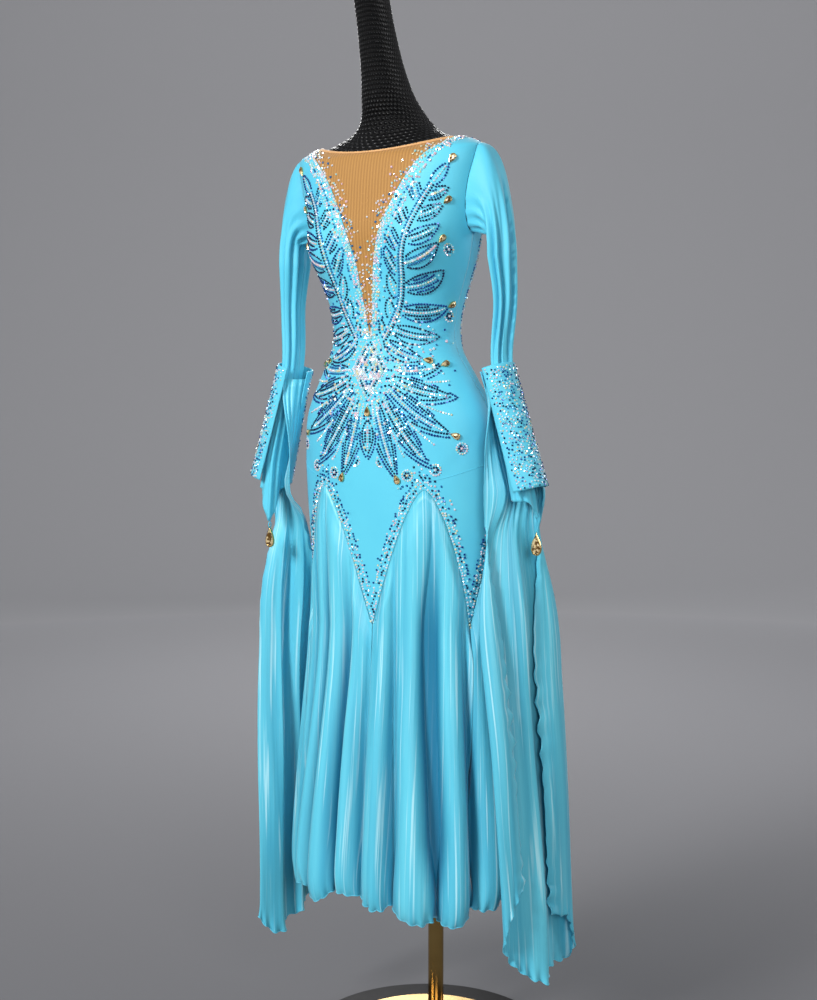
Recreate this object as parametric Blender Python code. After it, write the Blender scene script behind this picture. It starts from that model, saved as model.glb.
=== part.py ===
"""Ballroom dance dress on a limbless dress form with a pole stand.

Metres, +Z up. The origin is the middle of the base's underside and the dress faces -Y, so +X is the
wearer's left. The body is a stack of rings: a turn of 0 degrees is the centre front, 90 the wearer's
left side and 180 the centre back. A station is a height on the body that keeps on climbing over the
shoulder to the neck, where a plain height would stand still.
"""

import math

import bmesh
import bpy
import numpy as np

# ---------------------------------------------------------------- driving dimensions
WAIST_Y = -0.098  # the body's axis, in front of the base's middle
POLE_Y = 0.028  # the pole's axis, behind it

CLOTH = 0.0012  # wall of the stretch jersey
GODET_CLOTH = 0.0010  # wall of the satin chiffon
SEAM = 0.0003  # gap between two sewn pieces
FORM_CLEAR = 0.0046  # from the outside of the dress to the form

BASE_RADIUS, BASE_HEIGHT, BASE_EDGE = 0.2186, 0.018, 0.003
INLAY_RADIUS, INLAY_HEIGHT = 0.162, 0.002
POLE_RADIUS, POLE_DEPTH_IN_FORM = 0.014, 0.10
FORM_FOOT = 0.80  # height of the form's flat underside

YOKE_TOP = 1.06  # station above which the rows of the bodice run level
ARCH_TOP, POINT_LOW = 1.017, 0.787  # height of a godet's arch and of a yoke point
GODETS = 6
ARCH_ROUNDING = 1.6
COLUMNS = 12  # columns of a quarter of the bodice, so that 30 and 60 degrees have one each
HEM = 0.308

ARMHOLE_MIDDLE, ARMHOLE_RISE, ARMHOLE_TURN = 1.510, 0.075, 17.0  # station, half height, half width
ARMHOLE_STEPS = 6
NECKLINE = 1.632  # station of the neck edge

BUST = dict(turn=37.0, spread=21.0, height=1.402, above=0.060, below=0.042, rise=0.021)

# Rings of the dressed body. turn-independent values: station, height, half width, middle of the ring
# behind the body's axis, depth to the front, depth to the back, squareness (2 is an ellipse), and how
# much the ring is raised at the centre front and at the centre back.
RING_COLUMNS = ("station", "height", "width", "middle", "front", "back", "square", "raise_front", "raise_back")
RINGS = [
    (0.780, 0.780, 0.178, 0.048, 0.122, 0.116, 2.20, 0.000, 0.000),
    (0.900, 0.900, 0.187, 0.042, 0.121, 0.117, 2.20, 0.000, 0.000),
    (1.000, 1.000, 0.190, 0.030, 0.114, 0.113, 2.20, 0.000, 0.000),
    (1.070, 1.070, 0.187, 0.019, 0.105, 0.106, 2.20, 0.000, 0.000),
    (1.142, 1.142, 0.177, 0.010, 0.096, 0.097, 2.15, 0.000, 0.000),
    (1.193, 1.193, 0.151, 0.005, 0.088, 0.088, 2.10, 0.000, 0.000),
    (1.218, 1.218, 0.136, 0.002, 0.083, 0.084, 2.10, 0.000, 0.000),
    (1.243, 1.243, 0.122, 0.000, 0.080, 0.081, 2.10, 0.000, 0.000),
    (1.268, 1.268, 0.116, 0.000, 0.079, 0.079, 2.10, 0.000, 0.000),
    (1.294, 1.294, 0.117, 0.000, 0.081, 0.078, 2.10, 0.000, 0.000),
    (1.319, 1.319, 0.122, 0.000, 0.084, 0.079, 2.15, 0.000, 0.000),
    (1.344, 1.344, 0.130, 0.000, 0.088, 0.081, 2.20, 0.000, 0.000),
    (1.394, 1.394, 0.146, -0.002, 0.092, 0.087, 2.30, 0.000, 0.000),
    (1.440, 1.440, 0.155, -0.005, 0.095, 0.092, 2.40, 0.000, 0.000),
    (1.480, 1.480, 0.163, -0.008, 0.090, 0.097, 2.40, 0.000, 0.000),
    (1.520, 1.520, 0.172, -0.011, 0.084, 0.096, 2.45, 0.000, 0.000),
    (1.550, 1.550, 0.178, -0.012, 0.079, 0.089, 2.50, -0.004, 0.000),
    (1.575, 1.571, 0.176, -0.012, 0.076, 0.082, 2.45, -0.014, -0.004),
    (1.600, 1.580, 0.163, -0.008, 0.078, 0.072, 2.25, -0.018, -0.006),
    (1.632, 1.588, 0.143, -0.005, 0.078, 0.063, 2.10, -0.022, -0.008),
    (1.660, 1.598, 0.108, -0.006, 0.069, 0.063, 2.10, -0.018, -0.006),
    (1.685, 1.613, 0.079, 0.000, 0.060, 0.060, 2.20, -0.008, -0.002),
    (1.705, 1.629, 0.064, -0.004, 0.056, 0.056, 2.10, 0.000, 0.000),
    (1.722, 1.645, 0.056, -0.013, 0.054, 0.054, 2.00, 0.000, 0.000),
    (1.740, 1.662, 0.050, -0.023, 0.050, 0.050, 2.00, 0.000, 0.000),
    (1.773, 1.695, 0.043, -0.036, 0.043, 0.043, 2.00, 0.000, 0.000),
    (1.839, 1.761, 0.036, -0.057, 0.036, 0.036, 2.00, 0.000, 0.000),
    (1.904, 1.826, 0.033, -0.075, 0.033, 0.033, 2.00, 0.000, 0.000),
    (1.958, 1.880, 0.029, -0.086, 0.029, 0.029, 2.00, 0.000, 0.000),
    (1.980, 1.901, 0.022, -0.089, 0.022, 0.022, 2.00, 0.000, 0.000),
    (1.988, 1.908, 0.012, -0.090, 0.012, 0.012, 2.00, 0.000, 0.000),
]
RING = dict(zip(RING_COLUMNS, np.array(RINGS).T))

# Edge of the front inset, degrees from the centre front, and of the back inset, degrees from the
# centre back, at each station.
FRONT_EDGE = [(1.262, 0), (1.296, 2.2), (1.335, 3.8), (1.390, 5.3), (1.435, 8.6), (1.4725, 13.5), (1.510, 19.5),
              (1.5475, 27), (1.575, 35), (1.608, 52), (1.632, 70)]
BACK_EDGE = [(1.216, 0), (1.220, 18), (1.236, 40), (1.262, 56), (1.296, 64), (1.335, 68), (1.390, 69), (1.435, 66),
             (1.4725, 60), (1.510, 58), (1.5475, 57), (1.575, 60), (1.608, 68), (1.632, 76)]

# Skirt below the yoke's points, where it hangs free: height, half width, middle, front, back.
SKIRT = dict(zip(("height", "width", "middle", "front", "back"), np.array([
    (0.290, 0.198, 0.045, 0.154, 0.160),
    (0.400, 0.194, 0.045, 0.147, 0.151),
    (0.600, 0.184, 0.046, 0.132, 0.130),
    (0.720, 0.179, 0.048, 0.124, 0.118),
    (0.780, 0.178, 0.048, 0.122, 0.116),
]).T))
FOLD_DEPTH = [(0.290, 0.040), (0.450, 0.034), (0.700, 0.021), (0.900, 0.011), (1.020, 0.005)]  # height, depth
# Valleys of the skirt's folds: degrees from the centre front, and share of the full depth.
VALLEYS = [(0, 0.8), (14, 0.9), (38, 1.0), (60, 0.9), (80, 1.0), (100, 0.9), (120, 0.8), (138, 1.0), (158, 0.9),
           (180, 0.9), (197, 0.9), (219, 1.0), (240, 0.8), (257, 0.9), (279, 1.0), (300, 0.8), (313, 0.7), (327, 0.9),
           (347, 0.9)]
VALLEY_DEPTH = [(0.290, 0.012), (0.450, 0.009), (0.650, 0.003), (0.760, 0.000), (1.020, 0.000)]  # height, depth inward
FOLD_STEPS = (0.0, 0.18, 0.50, 0.82)  # columns of the wall within one fold

# Sleeve below the armhole: height, middle of the tube from the body's side and front, half width
# across the body and along it, and depth of its folds.
SLEEVE = dict(zip(("height", "out", "along", "across", "deep", "fold"), np.array([
    (1.395, 0.2105, -0.010, 0.0195, 0.0280, 0.0018),
    (1.330, 0.2155, -0.009, 0.0150, 0.0210, 0.0022),
    (1.230, 0.2130, -0.014, 0.0140, 0.0205, 0.0025),
    (1.150, 0.2250, -0.016, 0.0150, 0.0215, 0.0026),
    (1.060, 0.246, -0.016, 0.0180, 0.0235, 0.0018),
    (1.003, 0.258, -0.016, 0.0190, 0.0240, 0.0016),
]).T))
# The sleeve's end is drawn down into a point over the hand: its level, the point's drop, the length of
# the elastic loop below it, and the point's place round the sleeve (0 is outwards, 90 to the front).
HAND = dict(left=(1.003, 0.028, 0.024, -30), right=(1.003, 0.058, 0.010, 120))
SLEEVE_FOLDS, CAP_PUSH = 3, 0.049

CUFF_TOP, CUFF_LOW = 1.2175, 1.0190
# Cuff from its top to its low edge; the slit faces the body, turned a little to the front.
CUFF = dict(out=(0.2052, 0.2600), along=-0.016, across=(0.0270, 0.0360), deep=(0.0340, 0.0365), slit=(34, 48))
CUFF_TURN = 38

FLOAT_TOP, FLOAT_FOLDS = 1.150, 5
# Floats, one for each arm. Below the cuff a float hangs in a line from its front end to its back end:
# height, both ends from the body's side and front, and the depth of its folds. Inside the cuff it wraps
# round the sleeve, by the share in the last column.
FLOAT_COLUMNS = ("height", "front_out", "front_along", "back_out", "back_along", "fold", "wrap")
FLOAT_LEFT = dict(zip(FLOAT_COLUMNS, np.array([
    (0.170, 0.250, -0.066, 0.288, 0.096, 0.0120, 0.0),
    (0.300, 0.243, -0.067, 0.284, 0.092, 0.0120, 0.0),
    (0.500, 0.232, -0.068, 0.276, 0.085, 0.0110, 0.0),
    (0.700, 0.221, -0.062, 0.269, 0.074, 0.0090, 0.0),
    (0.900, 0.207, -0.052, 0.264, 0.055, 0.0060, 0.0),
    (0.950, 0.204, -0.047, 0.261, 0.046, 0.0044, 0.25),
    (1.000, 0.203, -0.043, 0.257, 0.038, 0.0026, 1.0),
    (1.060, 0.203, -0.040, 0.252, 0.030, 0.0018, 1.0),
    (1.150, 0.203, -0.036, 0.248, 0.020, 0.0008, 1.0),
]).T))
FLOAT_RIGHT = dict(zip(FLOAT_COLUMNS, np.array([
    (0.170, 0.242, 0.106, 0.287, -0.014, 0.0120, 0.0),
    (0.300, 0.241, 0.102, 0.286, -0.015, 0.0120, 0.0),
    (0.500, 0.236, 0.094, 0.284, -0.018, 0.0110, 0.0),
    (0.700, 0.228, 0.072, 0.281, -0.018, 0.0085, 0.0),
    (0.900, 0.213, 0.028, 0.273, -0.010, 0.0036, 0.0),
    (0.950, 0.208, 0.006, 0.268, 0.000, 0.0024, 0.25),
    (1.000, 0.206, -0.012, 0.262, 0.010, 0.0026, 1.0),
    (1.060, 0.205, -0.020, 0.257, 0.012, 0.0018, 1.0),
    (1.150, 0.203, -0.024, 0.250, 0.012, 0.0008, 1.0),
]).T))
FLOAT_ARC = (118, 330)  # where the wrapped part starts, in the slit, and ends, round the back of the sleeve
FLOAT_HEM = [(0.0, 0.232), (0.25, 0.205), (0.5, 0.186), (0.75, 0.204), (1.0, 0.262)]  # share across, height

PENDANT = dict(height=0.0420, width=0.0205, depth=0.0110)
LOOP_RADIUS = 0.0009

# ---------------------------------------------------------------- colours
AQUA = (0.115, 0.60, 0.83, 1.0)
SATIN = (0.150, 0.63, 0.84, 1.0)
NUDE = (0.62, 0.32, 0.105, 1.0)
BLACK = (0.010, 0.010, 0.012, 1.0)
BRASS = (0.62, 0.42, 0.16, 1.0)
GOLD = (0.78, 0.50, 0.16, 1.0)


# ---------------------------------------------------------------- curves and surfaces
def smooth(x, xs, ys):
    """Cubic curve through the points (xs, ys), with the slope at each one taken from its neighbours."""
    x, xs, ys = np.asarray(x, float), np.asarray(xs, float), np.asarray(ys, float)
    slope = np.gradient(ys, xs)
    i = np.clip(np.searchsorted(xs, x) - 1, 0, len(xs) - 2)
    step = xs[i + 1] - xs[i]
    w = np.clip((x - xs[i]) / step, 0, 1)
    return (
        ys[i] * (1 + 2 * w) * (1 - w) ** 2 + slope[i] * step * w * (1 - w) ** 2
        + ys[i + 1] * w**2 * (3 - 2 * w) + slope[i + 1] * step * w**2 * (w - 1)
    )


def column(table, name, x):
    """Value of one named column of a table at x, which is measured in the table's first column."""
    return smooth(x, table[next(iter(table))], table[name])


def along(pairs, x):
    """Value at x of a short table of (x, value) pairs."""
    xs, ys = zip(*sorted(pairs))
    return smooth(x, xs, ys)


def power(value, exponent):
    return np.sign(value) * np.abs(value) ** exponent


def body(turn, station, inward=0.0):
    """Points of the dressed body, from the rings. Turn is in degrees; inward moves them towards the axis."""
    turn, station = np.broadcast_arrays(np.radians(np.asarray(turn, float)), np.asarray(station, float))
    across, ahead = np.sin(turn), np.cos(turn)
    r = {name: column(RING, name, station) for name in RING_COLUMNS[1:]}
    shape = 2 / r["square"]
    depth = np.where(ahead > 0, r["front"], r["back"])
    x = (r["width"] - inward) * power(across, shape)
    y = r["middle"] - (depth - inward) * power(ahead, shape)
    z = r["height"] + np.where(ahead > 0, r["raise_front"], r["raise_back"]) * ahead**2
    side = np.degrees(np.arctan2(np.abs(across), ahead))
    fall = np.where(z > BUST["height"], BUST["above"], BUST["below"])
    swell = BUST["rise"] * np.exp(-(((side - BUST["turn"]) / BUST["spread"]) ** 2) - ((z - BUST["height"]) / fall) ** 2)
    x = x + swell * across * 0.6
    y = y - swell * ahead
    return np.stack([x, y + WAIST_Y, z - inward * 0.6 * (station > ARMHOLE_MIDDLE)], axis=-1)


def yoke_edge(turn):
    """Height of the yoke's lower edge: points at 0, 60, 120 degrees, arches midway between them.

    The edge is straight from one of the bodice's columns to the next, so that the godets meet it.
    """
    pitch = 360 / GODETS
    from_point = np.abs((np.asarray(turn, float) + pitch / 2) % pitch - pitch / 2)
    columns = np.arange(0, pitch / 2 + 1, 90 / COLUMNS)
    heights = POINT_LOW + (ARCH_TOP - POINT_LOW) * (1 - (1 - columns / (pitch / 2)) ** ARCH_ROUNDING)
    return np.interp(from_point, columns, heights)


def fold_profile(turn):
    """0 in the valley of a skirt fold and up to 1 on its crest."""
    turn = np.asarray(turn, float) % 360
    at, depth = np.array(VALLEYS, float).T
    at, depth = np.append(at, at[0] + 360), np.append(depth, depth[0])
    turn = np.where(turn < at[0], turn + 360, turn)
    i = np.clip(np.searchsorted(at, turn, side="right") - 1, 0, len(at) - 2)
    w = np.clip((turn - at[i]) / (at[i + 1] - at[i]), 0, 1)
    return np.sin(math.pi * w) ** 0.75 * (depth[i] * (1 - w) + depth[i + 1] * w)


def skirt(turn, z):
    """Points of the skirt's outside: the body's shape inside the arches, then the free skirt, plus folds."""
    turn, z = np.broadcast_arrays(np.asarray(turn, float), np.asarray(z, float))
    top = body(turn, np.maximum(z, POINT_LOW))
    angle = np.radians(turn)
    across, ahead = np.sin(angle), np.cos(angle)
    low = np.clip(z, SKIRT["height"][0], SKIRT["height"][-1])
    s = {name: column(SKIRT, name, low) for name in ("width", "middle", "front", "back")}
    shape = 2 / 2.2
    depth = np.where(ahead > 0, s["front"], s["back"])
    free = np.stack([s["width"] * power(across, shape), s["middle"] - depth * power(ahead, shape) + WAIST_Y, z], axis=-1)
    points = np.where((z < SKIRT["height"][-1])[..., None], free, top)
    below_edge = np.clip((yoke_edge(turn) - z) / 0.06, 0, 1)
    crest = fold_profile(turn)
    swell = (along(FOLD_DEPTH, z) * crest - along(VALLEY_DEPTH, z) * (1 - crest)) * below_edge**2 * (3 - 2 * below_edge)
    points[..., 0] += swell * across
    points[..., 1] -= swell * ahead
    points[..., 2] = z
    return points


# ---------------------------------------------------------------- Blender helpers
def clear_scene():
    for obj in list(bpy.data.objects):
        bpy.data.objects.remove(obj)


def material(name, colour, roughness, metallic=0.0):
    made = bpy.data.materials.new(name)
    made.use_nodes = True
    shader = made.node_tree.nodes["Principled BSDF"]
    shader.inputs["Base Color"].default_value = colour
    shader.inputs["Roughness"].default_value = roughness
    shader.inputs["Metallic"].default_value = metallic
    made.diffuse_color = colour
    return made


def object_from(name, verts, faces, finish):
    mesh = bpy.data.meshes.new(name)
    mesh.from_pydata([tuple(map(float, v)) for v in verts], [], [tuple(map(int, f)) for f in faces])
    mesh.materials.append(finish)
    mesh.shade_smooth()
    mesh.set_sharp_from_angle(angle=math.radians(50))
    made = bpy.data.objects.new(name, mesh)
    bpy.context.scene.collection.objects.link(made)
    return made


def grid_faces(rows, cols, wrap=False):
    """Quads of a grid of rows x cols points, joined round on itself when wrap is set."""
    i, j = np.meshgrid(np.arange(rows - 1), np.arange(cols if wrap else cols - 1), indexing="ij")
    k = (j + 1) % cols
    return np.stack([i * cols + j, i * cols + k, (i + 1) * cols + k, (i + 1) * cols + j], axis=-1).reshape(-1, 4)


def wall(name, grids, thickness, finish, wrap=False, flip=False):
    """A cloth wall: one grid of outer points, or several that share edges, thickened inwards."""
    mesh = bmesh.new()
    for points in grids:
        rows, cols = points.shape[:2]
        verts = [mesh.verts.new(p) for p in points.reshape(-1, 3)]
        for face in grid_faces(rows, cols, wrap):
            corners = [verts[k] for k in (reversed(face) if flip else face)]
            mesh.faces.new(corners)
    bmesh.ops.remove_doubles(mesh, verts=mesh.verts, dist=1e-5)
    mesh.normal_update()
    made = object_from(name, [], [], finish)
    mesh.to_mesh(made.data)
    mesh.free()
    made.data.shade_smooth()
    solidify = made.modifiers.new("cloth", "SOLIDIFY")
    solidify.thickness = thickness
    solidify.offset = -1
    return made


def turned(name, profile, finish, centre=(0, 0), sides=48):
    """A round solid from (radius, height) points, listed up the outside from the axis to the axis."""
    mesh = bmesh.new()
    angles = np.linspace(0, 2 * math.pi, sides, endpoint=False)
    rings = []
    for radius, z in profile:
        if radius < 1e-6:
            rings.append([mesh.verts.new((centre[0], centre[1], z))])
        else:
            rings.append([mesh.verts.new((centre[0] + radius * math.cos(a), centre[1] + radius * math.sin(a), z))
                          for a in angles])
    for low, high in zip(rings, rings[1:]):
        for k in range(sides):
            ends = [low[k % len(low)], low[(k + 1) % len(low)], high[(k + 1) % len(high)], high[k % len(high)]]
            corners = list(dict.fromkeys(ends))
            mesh.faces.new(corners)
    made = object_from(name, [], [], finish)
    mesh.to_mesh(made.data)
    mesh.free()
    made.data.shade_smooth()
    made.data.set_sharp_from_angle(angle=math.radians(35))
    return made


# ---------------------------------------------------------------- the stand and the form
def build_stand(black, brass):
    turned("base_plate", [(0, 0), (BASE_RADIUS, 0), (BASE_RADIUS, BASE_HEIGHT - BASE_EDGE),
                          (BASE_RADIUS - BASE_EDGE, BASE_HEIGHT), (0, BASE_HEIGHT)], black, sides=64)
    low = BASE_HEIGHT + SEAM
    turned("base_inlay", [(0, low), (INLAY_RADIUS, low), (INLAY_RADIUS - 0.001, low + INLAY_HEIGHT),
                          (0, low + INLAY_HEIGHT)], brass, sides=64)
    foot = low + INLAY_HEIGHT + SEAM
    top = FORM_FOOT + POLE_DEPTH_IN_FORM - SEAM
    turned("pole", [(0, foot), (POLE_RADIUS, foot), (POLE_RADIUS, top), (0, top)], brass, (0, POLE_Y), sides=24)


def build_form(black, sides=30):
    """Torso and tall leaning neck, in one, with a blind socket for the pole."""
    stations = [0.800, 0.806, 0.900, 0.980, 1.060, 1.115, 1.170, 1.216, 1.236, 1.262, 1.296, 1.335, 1.390, 1.435, 1.480,
                1.520, 1.550, 1.575, 1.600, 1.632, 1.660, 1.685, 1.710, 1.740, 1.773, 1.839, 1.904,
                1.958, 1.980, 1.988]
    turns = np.linspace(0, 360, sides, endpoint=False)
    inward = np.full(len(stations), FORM_CLEAR)
    inward[0] += 0.006  # rounded lower edge
    points = np.array([body(turns, s, inward=d) for s, d in zip(stations, inward)])
    points[..., 2] = np.where(np.arange(len(stations))[:, None] == 0, FORM_FOOT, points[..., 2])
    faces = [tuple(f) for f in grid_faces(len(stations), sides, wrap=True)]
    faces.append(tuple(reversed(range(sides))))
    faces.append(tuple(range((len(stations) - 1) * sides, len(stations) * sides)))
    form = object_from("form_torso", points.reshape(-1, 3), faces, black)
    socket = turned("socket_cutter", [(0, FORM_FOOT - 0.01), (POLE_RADIUS + SEAM, FORM_FOOT - 0.01),
                                      (POLE_RADIUS + SEAM, FORM_FOOT + POLE_DEPTH_IN_FORM),
                                      (0, FORM_FOOT + POLE_DEPTH_IN_FORM)], black, (0, POLE_Y), sides=24)
    socket.hide_render = True
    socket.display_type = "WIRE"
    cut = form.modifiers.new("socket", "BOOLEAN")
    cut.operation = "DIFFERENCE"
    cut.object = socket
    return form


# ---------------------------------------------------------------- bodice


def armhole_turn(station):
    """Half width of the armhole in degrees, at a station."""
    inside = 1 - ((station - ARMHOLE_MIDDLE) / ARMHOLE_RISE) ** 2
    return ARMHOLE_TURN * np.sqrt(np.clip(inside, 0, 1))


def bodice_stations():
    """Rows of the bodice above the yoke: to the armhole, round it, and on over the shoulder."""
    low = [YOKE_TOP, 1.115, 1.170] + [s for s, _ in BACK_EDGE if s < ARMHOLE_MIDDLE - ARMHOLE_RISE - 0.006]
    round_it = ARMHOLE_MIDDLE - ARMHOLE_RISE * np.cos(np.radians(np.linspace(0, 180, ARMHOLE_STEPS + 1)))
    return np.array(low + list(round_it) + [0.5 * (round_it[-1] + NECKLINE), NECKLINE])


def quarter(edge, middle_turn, mirror):
    """Grid of a quarter of the bodice, from the inset's edge, or the centre line below it, to the side.

    middle_turn is 0 for the front and 180 for the back, and mirror picks the wearer's left or right.
    """
    share = np.linspace(0, 1, COLUMNS + 1)
    rows = []
    for step in np.linspace(0, 1, 3, endpoint=False):
        turn = share * 90
        edge_z = yoke_edge(turn + middle_turn)
        rows.append(np.stack([turn, edge_z + (YOKE_TOP - edge_z) * step]))
    for station in bodice_stations():
        inner = float(along(edge, station)) if station > edge[0][0] else 0.0
        outer = 90 - float(armhole_turn(station))
        rows.append(np.stack([inner + share * (outer - inner), np.full(COLUMNS + 1, station)]))
    turn, station = np.array(rows).transpose(1, 0, 2)
    points = body(turn * mirror if middle_turn == 0 else 180 - turn * mirror, station)
    points[:, -1, 1] += SEAM if middle_turn else -SEAM
    return points


def build_bodice(jersey):
    wall("bodice_front", [quarter(FRONT_EDGE, 0, 1), quarter(FRONT_EDGE, 0, -1)[:, ::-1]], CLOTH, jersey)
    wall("bodice_back", [quarter(BACK_EDGE, 180, 1)[:, ::-1], quarter(BACK_EDGE, 180, -1)], CLOTH, jersey)


def inset(name, edge, middle_turn, cols, mesh_cloth):
    """Nude mesh panel that fills a deep opening of the bodice, up to the neck edge.

    Its lowest row is bent, to follow the bodice's edge from the tip to the first station above it.
    """
    stations = bodice_stations()
    stations = stations[stations >= edge[0][0]]
    half = along(edge, stations)
    reach = np.radians(half) * 0.085
    slope = np.abs(np.diff(reach) / np.diff(stations))
    steepest = np.maximum(np.append(slope, slope[-1]), np.append(slope[:1], slope))
    half = half - np.degrees(2 * SEAM * np.sqrt(1 + steepest**2) / 0.085)
    share = np.linspace(-1, 1, cols + 1)
    rows = [body_row(share * half[1], stations[0] + (stations[1] - stations[0]) * np.abs(share) + 3 * SEAM, middle_turn)]
    for station, reach_out in zip(stations[2:], half[2:]):
        rows.append(body_row(share * reach_out, station, middle_turn))
    return wall(name, [np.array(rows)], CLOTH * 0.8, mesh_cloth)


def body_row(turn, station, middle_turn):
    """Row of body points at turns from the centre front, or from the centre back when middle_turn is 180."""
    return body(turn if middle_turn == 0 else 180 - turn[::-1], station)


def neck_binding(name, edge, middle_turn, cols, mesh_cloth, height=0.007):
    """Turned edge of an inset: a narrow strip that stands on top of it, along the neck."""
    share = np.linspace(-1, 1, cols + 1)
    half = float(along(edge, NECKLINE)) - 0.4
    turn = share * half if middle_turn == 0 else 180 - share[::-1] * half
    low, high = NECKLINE + SEAM * 5.5, NECKLINE + height
    return wall(name, [np.array([body(turn, s) for s in (low, (low + high) / 2, high)])], CLOTH * 1.4, mesh_cloth)


# ---------------------------------------------------------------- sleeves, cuffs and floats
def armhole_ring(side, inset_by=0.0004):
    """Points round the armhole, from the shoulder's top to the front, the underarm and the back."""
    angle = np.radians(np.linspace(0, 360, 2 * ARMHOLE_STEPS, endpoint=False))
    station = ARMHOLE_MIDDLE + (ARMHOLE_RISE - inset_by) * np.cos(angle)
    turn = 90 - (ARMHOLE_TURN - math.degrees(inset_by / 0.1)) * np.sin(angle)
    return body(turn * side, station)


def sleeve_ring(side, z):
    """Level ring of the hanging sleeve, in the same order of points as the armhole."""
    angle = np.linspace(0, 2 * math.pi, 2 * ARMHOLE_STEPS, endpoint=False)
    r = {name: column(SLEEVE_UP, name, z) for name in ("out", "along", "across", "deep", "fold")}
    fold = r["fold"] * np.cos(SLEEVE_FOLDS * angle + 0.4)
    x = r["out"] + (r["across"] + fold) * np.cos(angle)
    y = r["along"] - (r["deep"] + fold) * np.sin(angle)
    return np.stack([side * x, y + WAIST_Y, np.full_like(x, z)], axis=-1)


SLEEVE_UP = {name: values[::-1] for name, values in SLEEVE.items()}


def sleeve_grid(side, word):
    """Cap that springs from the armhole and bends down into the hanging tube, which ends in a point."""
    start = armhole_ring(side)
    end = sleeve_ring(side, SLEEVE["height"][0])
    outward = start - np.array([0.0, WAIST_Y - 0.012, ARMHOLE_MIDDLE - 0.01])
    outward[:, 1] *= 0.35
    outward[:, 2] *= 0.45
    outward /= np.linalg.norm(outward, axis=1)[:, None]
    rows = []
    for w in (0.0, 0.12, 0.27, 0.45, 0.70):
        rows.append(start * (1 + 2 * w) * (1 - w) ** 2 + outward * CAP_PUSH * 2.2 * w * (1 - w) ** 2
                    + end * w**2 * (3 - 2 * w) + np.array([0, 0, -0.13]) * w**2 * (w - 1))
    rows[0] = start + outward * SEAM
    for z in (1.395, 1.330, 1.270, 1.220, 1.170, 1.110, 1.050):
        rows.append(sleeve_ring(side, z))
    level, point, _, place = HAND[word]
    last = sleeve_ring(side, level)
    angle = np.linspace(0, 2 * math.pi, 2 * ARMHOLE_STEPS, endpoint=False)
    last[:, 2] -= point * np.clip(np.cos(angle - math.radians(place)), 0, 1) ** 3
    rows.append(last)
    return np.array(rows)


def cuff_section(z):
    """Middle and half widths of the cuff's inside at a height, with no slit."""
    w = np.clip((CUFF_TOP - z) / (CUFF_TOP - CUFF_LOW), 0, 1)
    out, across, deep = (CUFF[name][0] + (CUFF[name][1] - CUFF[name][0]) * w for name in ("out", "across", "deep"))
    return out, across, deep


def cuff_grid(side):
    """Flared gauntlet, open in a slit towards the body, that leans outwards from the wrist."""
    rows = []
    lean = math.atan2(CUFF["out"][1] - CUFF["out"][0], CUFF_TOP - CUFF_LOW)
    for w in np.linspace(0, 1, 5):
        z = CUFF_TOP + (CUFF_LOW - CUFF_TOP) * w
        out, across, deep = cuff_section(z)
        slit = CUFF["slit"][0] + (CUFF["slit"][1] - CUFF["slit"][0]) * w
        angle = np.radians(np.linspace(180 - slit, -180 + slit, 17) - CUFF_TURN)
        flare = 1 + 0.12 * max(0.0, 1 - w / 0.2) * np.clip(-np.cos(angle), 0, 1)
        x = across * flare * np.cos(angle)
        y = -deep * flare * np.sin(angle) + CUFF["along"] + WAIST_Y
        rows.append(np.stack([side * (out + x), y, z + x * math.tan(lean)], axis=-1))
    return np.array(rows)


def float_grid(side, table):
    """Long pleated panel, gathered round the sleeve inside the cuff, that falls to below the hem."""
    share = np.linspace(0, 1, 6 * FLOAT_FOLDS + 1)
    hem = along(FLOAT_HEM, share)
    angle = np.radians(FLOAT_ARC[0] + (FLOAT_ARC[1] - FLOAT_ARC[0]) * share)
    start = cuff_section(FLOAT_TOP)[0]
    rows = []
    for w in (0.0, 0.10, 0.15, 0.20, 0.28, 0.40, 0.60, 0.80, 1.0):
        z = FLOAT_TOP + (hem - FLOAT_TOP) * w
        r = {name: column(table, name, z) for name in FLOAT_COLUMNS[1:]}
        out, across, deep = cuff_section(z)
        free = np.clip(1 - share / 0.24, 0, 1)
        sewn = max(0.0, 1 - w / 0.1)
        arc_x = out - (out - start) * free + (across - 0.0075 + 0.0033 * sewn) * np.cos(angle)
        arc_y = -(deep - 0.0062 + 0.0021 * sewn) * np.sin(angle) + CUFF["along"]
        line_x = r["front_out"] + (r["back_out"] - r["front_out"]) * share
        line_y = r["front_along"] + (r["back_along"] - r["front_along"]) * share
        x, y = r["wrap"] * arc_x + (1 - r["wrap"]) * line_x, r["wrap"] * arc_y + (1 - r["wrap"]) * line_y
        dx, dy = np.gradient(x), np.gradient(y)
        length = np.hypot(dx, dy)
        wave = r["fold"] * np.sin(2 * math.pi * FLOAT_FOLDS * share + 0.8)
        rows.append(np.stack([side * (x + wave * dy / length), y - wave * dx / length + WAIST_Y, z], axis=-1))
    return np.array(rows)


def build_arm(side, word, table, jersey, chiffon):
    wall("sleeve_" + word, [sleeve_grid(side, word)], CLOTH * 0.9, jersey, wrap=True, flip=side < 0)
    wall("cuff_" + word, [cuff_grid(side)], CLOTH * 1.6, jersey, flip=side > 0)
    wall("float_" + word, [float_grid(side, table)], GODET_CLOTH, chiffon, flip=side > 0)


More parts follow.
